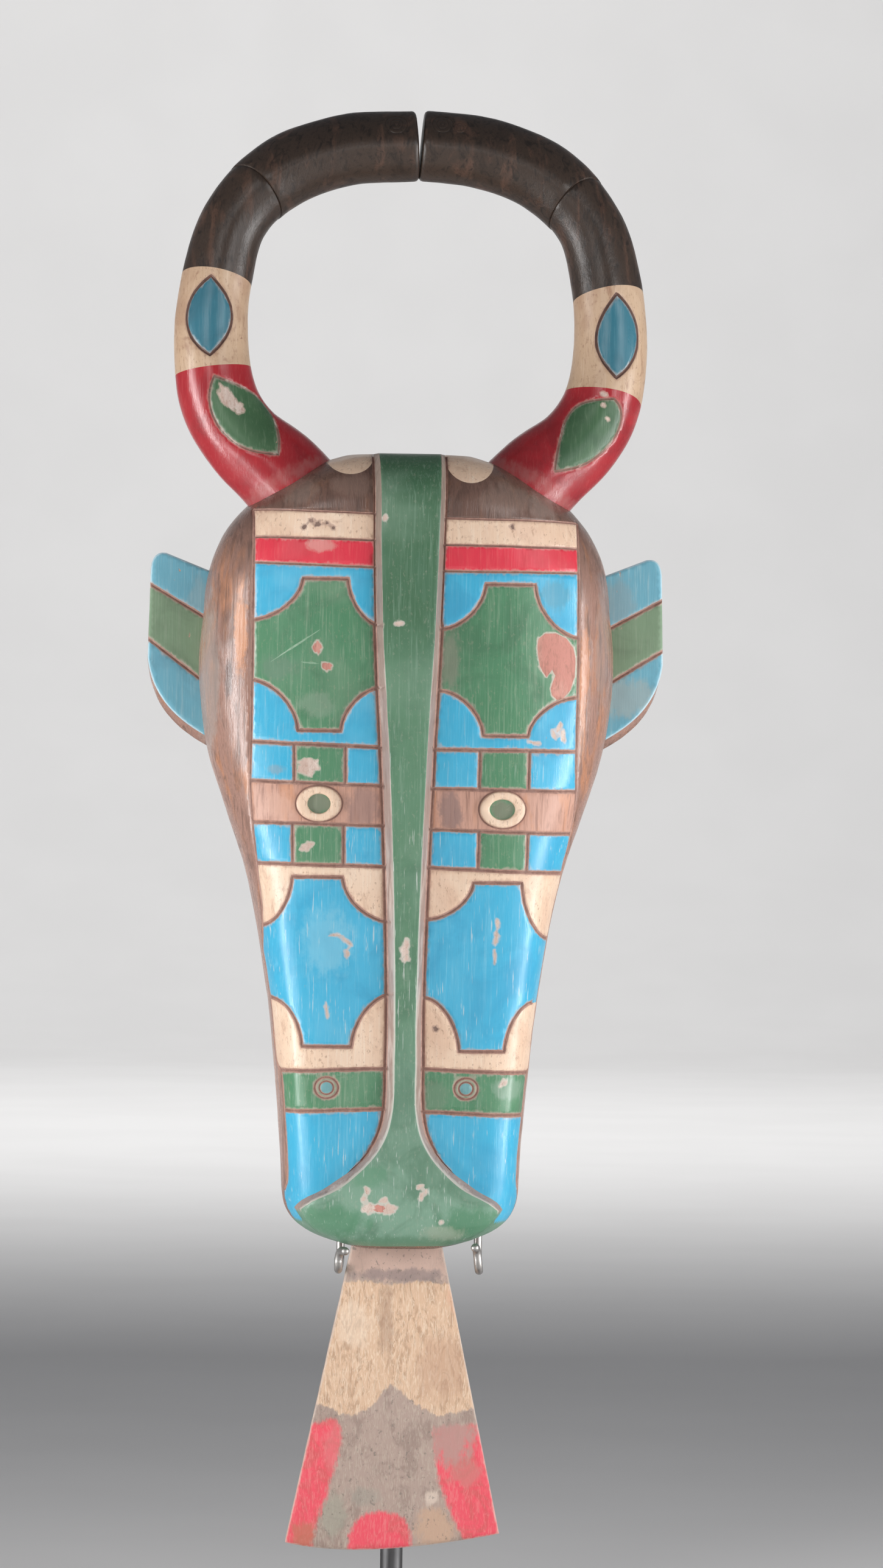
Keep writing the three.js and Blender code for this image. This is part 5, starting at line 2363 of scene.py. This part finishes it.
MASK_FINISHES: dict[Slot, Paint | Wood] = {
    Slot.SIDE_WOOD: Wood(
        "side_wood", (0.36, 0.205, 0.16), (0.56, 0.24, 0.115), (0.12, 0.068, 0.05), grain=0.75, gloss=0.26,
        shine=0.6, darker_up=(438, 522, (0.15, 0.085, 0.065)),
        wear_and_light_spots=(
            # The pale grey strips at x -139 and x 136, close to the side edges, are painted sheen.
            WearAndLightSpot(-126, 398, 3.2, 14, (0.1, 0.06, 0.05), 0.75), WearAndLightSpot(-139, 400, 8, 60, (0.38, 0.33, 0.3), 0.55),
            WearAndLightSpot(-118, 430, 5, 34, (0.66, 0.27, 0.11), 0.7), WearAndLightSpot(122, 405, 5, 30, (0.62, 0.25, 0.11), 0.6),
            # The dark strip along the chin's lower edge, at z 0, is painted shadow under the muzzle.
            WearAndLightSpot(136, 420, 6, 50, (0.36, 0.3, 0.28), 0.4), WearAndLightSpot(0, 0, 90, 3.2, (0.16, 0.1, 0.075), 0.9),
            WearAndLightSpot(-78, 528, 14, 12, (0.36, 0.28, 0.24), 0.28), WearAndLightSpot(-40, 532, 18, 9, (0.3, 0.2, 0.16), 0.4),
            WearAndLightSpot(66, 524, 22, 12, (0.34, 0.25, 0.21), 0.3), WearAndLightSpot(92, 520, 12, 12, (0.4, 0.31, 0.27), 0.32),
            WearAndLightSpot(-100, 500, 7, 16, (0.3, 0.24, 0.2), 0.6),
        ),
    ),
    Slot.GROOVE: Wood(
        "groove_wood", (0.42, 0.24, 0.19), (0.56, 0.36, 0.29), (0.2, 0.1, 0.08), grain=0.5, gloss=0.6,
        along=(260, 260, 200), dark_line_and_shade=(0.22, 0.125, 0.1),
    ),
    Slot.BEVEL: Wood(
        "bevel_wood", (0.36, 0.27, 0.235), (0.62, 0.53, 0.48), (0.22, 0.14, 0.12), grain=0.5, gloss=0.45,
        along=(420, 300, 40), warmth=0.75, worn=(0.5, 0.48, 0.42), darker_up=(400, 510, (0.28, 0.22, 0.18)),
    ),
    Slot.BLUE: Paint(
        "face_blue", (0.055, 0.43, 0.66), (0.2, 0.56, 0.74), (0.04, 0.33, 0.55), streak=0.55, flake=0.735,
        gloss=0.29, scuff=0.5, chipped=(0.66, 0.52, 0.46), footed=(0.4, 0.34, 0.32),
        wear_and_light_spots=(
            WearAndLightSpot(100, 458, 12, 11, (0.1, 0.3, 0.4), 0.6), WearAndLightSpot(-56, 214, 20, 26, (0.25, 0.58, 0.72), 0.45),
            WearAndLightSpot(-24, 402, 7, 40, (0.2, 0.5, 0.62), 0.3), WearAndLightSpot(-92, 334, 6, 4, (0.3, 0.33, 0.35), 0.5),
        ),
    ),
    Slot.GREEN: Paint(
        "face_green", (0.085, 0.245, 0.128), (0.28, 0.39, 0.27), (0.05, 0.15, 0.075), (0.58, 0.44, 0.36),
        streak=0.6, flake=0.73, gloss=0.3, speckle=0.14, scuff=0.25, chipped=(0.68, 0.55, 0.48),
        wear_and_light_spots=(
            WearAndLightSpot(27, 412, 9, 26, (0.26, 0.24, 0.19), 0.55), WearAndLightSpot(-92, 405, 16, 10, (0.15, 0.24, 0.17), 0.5),
            WearAndLightSpot(-66, 380, 14, 10, (0.3, 0.38, 0.29), 0.4), WearAndLightSpot(20, 108, 12, 12, (0.2, 0.27, 0.19), 0.4),
            # The pale spot at x 72, z 113 on the nostril band is a painted highlight on the muzzle's
            # shoulder.
            WearAndLightSpot(72, 113, 12, 9, (0.36, 0.46, 0.38), 0.4), WearAndLightSpot(-62.4, 310.7, 9, 8, (0.22, 0.22, 0.16), 0.8),
            WearAndLightSpot(65.2, 308.1, 10, 8, (0.22, 0.22, 0.16), 0.8),
        ),
    ),
    Slot.RIDGE: Paint(
        "ridge_green", (0.2, 0.345, 0.25), (0.25, 0.37, 0.275), (0.06, 0.155, 0.088), (0.56, 0.48, 0.42),
        streak=0.5, flake=0.735, gloss=0.33, speckle=0.14, scuff=0.55, chipped=(0.7, 0.6, 0.54),
        # The ridge green darkens in steps towards the top: partly the paint's own tone, partly painted shade
        # where less light reaches the upper face.
        steps=(
            (20, 80, (0.15, 0.27, 0.19)), (90, 200, (0.1, 0.22, 0.128)), (380, 460, (0.058, 0.145, 0.075)),
        ),
        wear_and_light_spots=(
            WearAndLightSpot(-48, 20, 26, 13, (0.07, 0.235, 0.118), 0.6), WearAndLightSpot(48, 20, 24, 13, (0.06, 0.215, 0.105), 0.65),
            # The darker green strip along the chin's lower edge, at z 4, is painted shade where the flare
            # rolls under.
            WearAndLightSpot(0, 4, 60, 7, (0.09, 0.22, 0.125), 0.6), WearAndLightSpot(28, 12, 16, 6, (0.38, 0.42, 0.32), 0.5),
            WearAndLightSpot(-24, 52, 14, 9, (0.1, 0.27, 0.155), 0.5),
        ),
    ),
    Slot.CREAM: Paint(
        "face_cream", (0.82, 0.6, 0.44), (0.92, 0.79, 0.65), (0.68, 0.44, 0.31), (0.36, 0.2, 0.13),
        streak=0.5, flake=0.72, gloss=0.33, speckle=0.55, stain=0.5, frayed=(0.5, 0.3, 0.22),
        chipped=(0.38, 0.24, 0.19),
    ),
    Slot.RED: Paint(
        "face_red", (0.74, 0.04, 0.07), (0.8, 0.14, 0.14), (0.56, 0.028, 0.045), (0.42, 0.1, 0.09),
        streak=0.45, flake=0.74, gloss=0.3, fray=0.4, wear_and_light_spots=(WearAndLightSpot(-64, 490, 12, 4.5, (0.72, 0.34, 0.3), 0.7),),
    ),
    Slot.EYE_WOOD: Wood(
        "eye_band_wood", (0.58, 0.33, 0.25), (0.64, 0.29, 0.15), (0.24, 0.12, 0.09), grain=0.6, gloss=0.42,
        wear_and_light_spots=(
            WearAndLightSpot(-32, 309, 13, 16, (0.3, 0.19, 0.17), 0.6), WearAndLightSpot(29, 306, 10, 16, (0.24, 0.16, 0.15), 0.7),
            WearAndLightSpot(-90, 309, 12, 12, (0.66, 0.4, 0.31), 0.6),
        ),
    ),
    Slot.CHIP: Wood(
        "pale_chip", (0.62, 0.48, 0.41), (0.78, 0.69, 0.62), (0.42, 0.24, 0.18), grain=0.55, gloss=0.6,
        along=(400, 400, 200),
    ),
    Slot.BARE_CHIP: Wood(
        "bare_chip", (0.6, 0.26, 0.21), (0.66, 0.37, 0.3), (0.3, 0.15, 0.11), grain=0.5, gloss=0.6,
        along=(300, 300, 90),
    ),
    Slot.DARK_CHIP: Wood(
        "dark_chip", (0.24, 0.155, 0.125), (0.42, 0.28, 0.22), (0.13, 0.08, 0.065), gloss=0.65,
        along=(300, 300, 200),
    ),
    Slot.SCRATCH: Wood(
        "scratch", (0.26, 0.41, 0.28), (0.4, 0.53, 0.4), (0.15, 0.27, 0.17), gloss=0.5, along=(400, 400, 200),
    ),
    Slot.DOT_BLUE: Paint(
        "dot_blue", (0.17, 0.38, 0.4), (0.34, 0.5, 0.5), (0.11, 0.28, 0.3), gloss=0.4, fray=0,
    ),
    Slot.HORN_WOOD: Wood(
        "horn_wood", (0.045, 0.029, 0.021), (0.105, 0.056, 0.038), (0.012, 0.008, 0.006), grain=0.8,
        warmth=0.7, gloss=0.34, shine=0.5, along=(240, 220, 90),
    ),
    # The horn's cream, blue, red and green are the face's paints made darker: painted shade, as the horns lie
    # in less light than the face.
    Slot.HORN_CREAM: Paint(
        "horn_cream_shaded", (0.56, 0.39, 0.26), (0.68, 0.52, 0.38), (0.38, 0.22, 0.14), (0.26, 0.13, 0.08),
        streak=0.5, flake=0.71, gloss=0.33, speckle=0.5, stain=0.75, frayed=(0.36, 0.21, 0.15),
    ),
    Slot.HORN_BLUE: Paint(
        "horn_blue_shaded", (0.035, 0.165, 0.225), (0.09, 0.25, 0.31), (0.022, 0.11, 0.155), streak=0.4, flake=0.76,
        gloss=0.3, fray=0.4,
    ),
    Slot.HORN_RED: Paint(
        "horn_red_shaded", (0.38, 0.022, 0.03), (0.5, 0.08, 0.08), (0.2, 0.015, 0.02), (0.3, 0.12, 0.1), streak=0.4,
        flake=0.745, gloss=0.22, smoky=True, frayed=(0.5, 0.25, 0.21), chipped=(0.62, 0.44, 0.37),
    ),
    Slot.HORN_GREEN: Paint(
        "horn_green_shaded", (0.055, 0.13, 0.06), (0.16, 0.25, 0.15), (0.025, 0.075, 0.034), streak=0.5, flake=0.71,
        gloss=0.34, fray=0.4, chipped=(0.6, 0.46, 0.38),
    ),
    Slot.OUTLINE: Wood(
        "lens_outline", (0.12, 0.06, 0.045), (0.24, 0.12, 0.09), (0.05, 0.025, 0.02), gloss=0.5,
        along=(260, 260, 260),
    ),
    Slot.LEAF_LINE: Wood(
        "leaf_outline", (0.26, 0.14, 0.11), (0.72, 0.62, 0.54), (0.09, 0.05, 0.04), gloss=0.5,
        along=(260, 260, 260), warmth=0.9,
    ),
    Slot.EAR_BLUE: Paint(
        "ear_blue", (0.15, 0.41, 0.52), (0.36, 0.55, 0.6), (0.12, 0.3, 0.39), streak=0.5, flake=0.72,
        gloss=0.48, rim_wear_and_highlight=(0.5, 0.66, 0.73),
        wear_and_light_spots=(
            WearAndLightSpot(150, 455, 14, 20, (0.28, 0.36, 0.38), 0.5), WearAndLightSpot(-146, 455, 9, 14, (0.3, 0.4, 0.42), 0.4),
            WearAndLightSpot(155, 388, 24, 16, (0.34, 0.42, 0.41), 0.7),
        ),
    ),
    Slot.EAR_GREEN: Paint(
        "ear_green", (0.19, 0.29, 0.18), (0.3, 0.37, 0.27), (0.12, 0.18, 0.11), streak=0.5, flake=0.7,
        gloss=0.5,
    ),
    Slot.RAW_WOOD: Wood(
        "raw_wood", (0.36, 0.23, 0.15), (0.42, 0.24, 0.12), (0.16, 0.1, 0.065), grain=0.6, gloss=0.75,
    ),
}

TONGUE_FINISHES: tuple[TonguePaint | Wood, ...] = (
    TonguePaint(),
    Wood("tongue_rim", (0.56, 0.42, 0.34), (0.7, 0.56, 0.45), (0.3, 0.2, 0.15), grain=0.5, gloss=0.7),
)


# Scene


@dataclass(frozen=True)
class Lamp:
    """Soft box: where it hangs, its width and height, its watts and what it points at."""

    name: str
    place: Triple
    size: Pair
    power: float
    aim: Triple = (0, 0, 0.62)
    colour: Colour = (1, 1, 1)

    def hang(self) -> None:
        """Adds it to the scene."""
        data = bpy.data.lights.new(self.name, "AREA")
        data.shape, data.size, data.size_y = "RECTANGLE", *self.size
        data.energy, data.color = self.power, self.colour
        lamp = linked(self.name, data)
        turn = (Vector(self.aim) - Vector(self.place)).to_track_quat("-Z", "Y")
        lamp.matrix_world = Matrix.Translation(self.place) @ turn.to_matrix().to_4x4()


LAMPS = (
    Lamp("key_light", (-1.3, -2.8, 1.4), (1, 1), 14.6, colour=(1, 0.98, 0.96)),
    Lamp("fill_light", (1.8, -2.4, 1), (1, 1.4), 20.5),
    Lamp("low_light", (0.1, -3, 0.1), (0.9, 0.18), 3.6, (0, 0, 0.4)),
    Lamp("low_left", (-1.1, -0.85, 0.14), (0.2, 0.14), 2.3, (0, 0, 0.95)),
    Lamp("left_strip", (-1.45, -0.4, 0.46), (0.16, 0.9), 16),
    Lamp("low_right", (1.1, -0.85, 0.14), (0.2, 0.14), 2.3, (0, 0, 0.95)),
    Lamp("right_strip", (1.45, -0.4, 0.46), (0.16, 0.9), 15),
    Lamp("back_light", (0, 4.5, 5), (5, 1.5), 420, (0, 12, 1.5)),
)


@dataclass
class Studio:
    """Camera at the photo's angle, plain pale floor and soft lights."""

    target: Vector = field(default_factory=lambda: Vector((0.02272, -0.052, 0.61142)))
    yaw: float = 3.0
    roll: float = 0.75
    distance: float = 4.2
    view_height: float = 1.0912
    sensor: float = 36.0
    reach: float = 9.0
    curve: float = 3.0
    wall: float = 7.0
    bends: int = 16
    floor_gap: float = 0.0002
    air: Colour = (0.9, 0.93, 1)
    air_strength: float = 0.17

    def camera(self) -> None:
        """Adds the camera and makes it the scene's own."""
        yaw, roll = math.radians(self.yaw), math.radians(self.roll)
        ahead = Vector((math.sin(yaw), math.cos(yaw), 0))
        level = Vector((math.cos(yaw), -math.sin(yaw), 0))
        right = level * math.cos(roll) + Vector((0, 0, 1)) * math.sin(roll)
        up = Vector((0, 0, 1)) * math.cos(roll) - level * math.sin(roll)
        data = bpy.data.cameras.new("view_camera")
        data.sensor_fit, data.sensor_height = "VERTICAL", self.sensor
        data.lens = self.sensor * self.distance / self.view_height
        eye = linked("view_camera", data)
        turn = Matrix((right, up, -ahead)).transposed().to_4x4()
        eye.matrix_world = Matrix.Translation(self.target - ahead * self.distance) @ turn
        bpy.context.scene.camera = eye

    def backdrop(self) -> None:
        """Adds the floor, which curves up far behind."""
        made = bmesh.new()
        profile = [(-self.reach, 0)]
        for turn in np.linspace(0, math.pi / 2, self.bends):
            profile.append((self.reach + self.curve * math.sin(turn), self.curve * (1 - math.cos(turn))))
        profile.append((self.reach + self.curve, self.wall))
        sides = (-self.reach, self.reach)
        rows = [[made.verts.new((x, y, z - self.floor_gap)) for x in sides] for y, z in profile]
        for low, high in zip(rows, rows[1:]):
            made.faces.new((low[0], low[1], high[1], high[0]))
        r = Recipe("pale_floor", (0.8, 0.79, 0.78), 0.85)
        r.lay((0.76, 0.75, 0.74), r.cloud(3, 2), 0.3, 0.7, 0.5)
        finish_bmesh(made, "floor", r.finish())

    def build(self) -> None:
        """Sets up the camera, the lights and the floor."""
        self.camera()
        self.backdrop()
        for lamp in LAMPS:
            lamp.hang()
        world = bpy.data.worlds.new("studio_world")
        world.use_nodes = True
        sky = world.node_tree.nodes["Background"].inputs
        sky["Color"].default_value, sky["Strength"].default_value = (*self.air, 1), self.air_strength
        bpy.context.scene.world = world
        bpy.context.scene.view_settings.view_transform = "Standard"


def place(piece: Object, node: str, slot: str) -> None:
    """Puts a finished piece in the frame.

    Args:
        piece: The piece.
        node: Packed node that it stands for.
        slot: Material slot of the record; not used.
    """
    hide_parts(node)
    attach(piece, BODY)
    log.info("%s: %d faces", piece.name, len(piece.data.polygons))


def main() -> None:
    """Builds the pieces in order and reports each."""
    logging.basicConfig(level=logging.INFO, format="%(message)s")
    Studio().build()
    place(Mask().build(), "mask", "painted_wood")
    place(Tongue().build([finish.make() for finish in TONGUE_FINISHES]), "tongue", "tongue_wood")
    rod_steel = Steel("rod_steel", (0.5, 0.48, 0.46), 0.4, (500, 500, 30)).make()
    # The post's near-black steel is painted reflection: polished steel mirroring dark surroundings.
    post_steel_dark_reflection = Steel("post_steel_dark_reflection", (0.13, 0.128, 0.13), 0.42, (500, 500, 30)).make()
    place(Cradle(HeadForm()).build(rod_steel, post_steel_dark_reflection), "stand_cradle", "stand_rod")
    plate_steel = Steel("plate_steel", (0.44, 0.45, 0.47), 0.38, (20, 600, 300)).make()
    place(Foot().build(plate_steel), "stand_foot", "stand_plate")


if __name__ == "__main__":
    main()
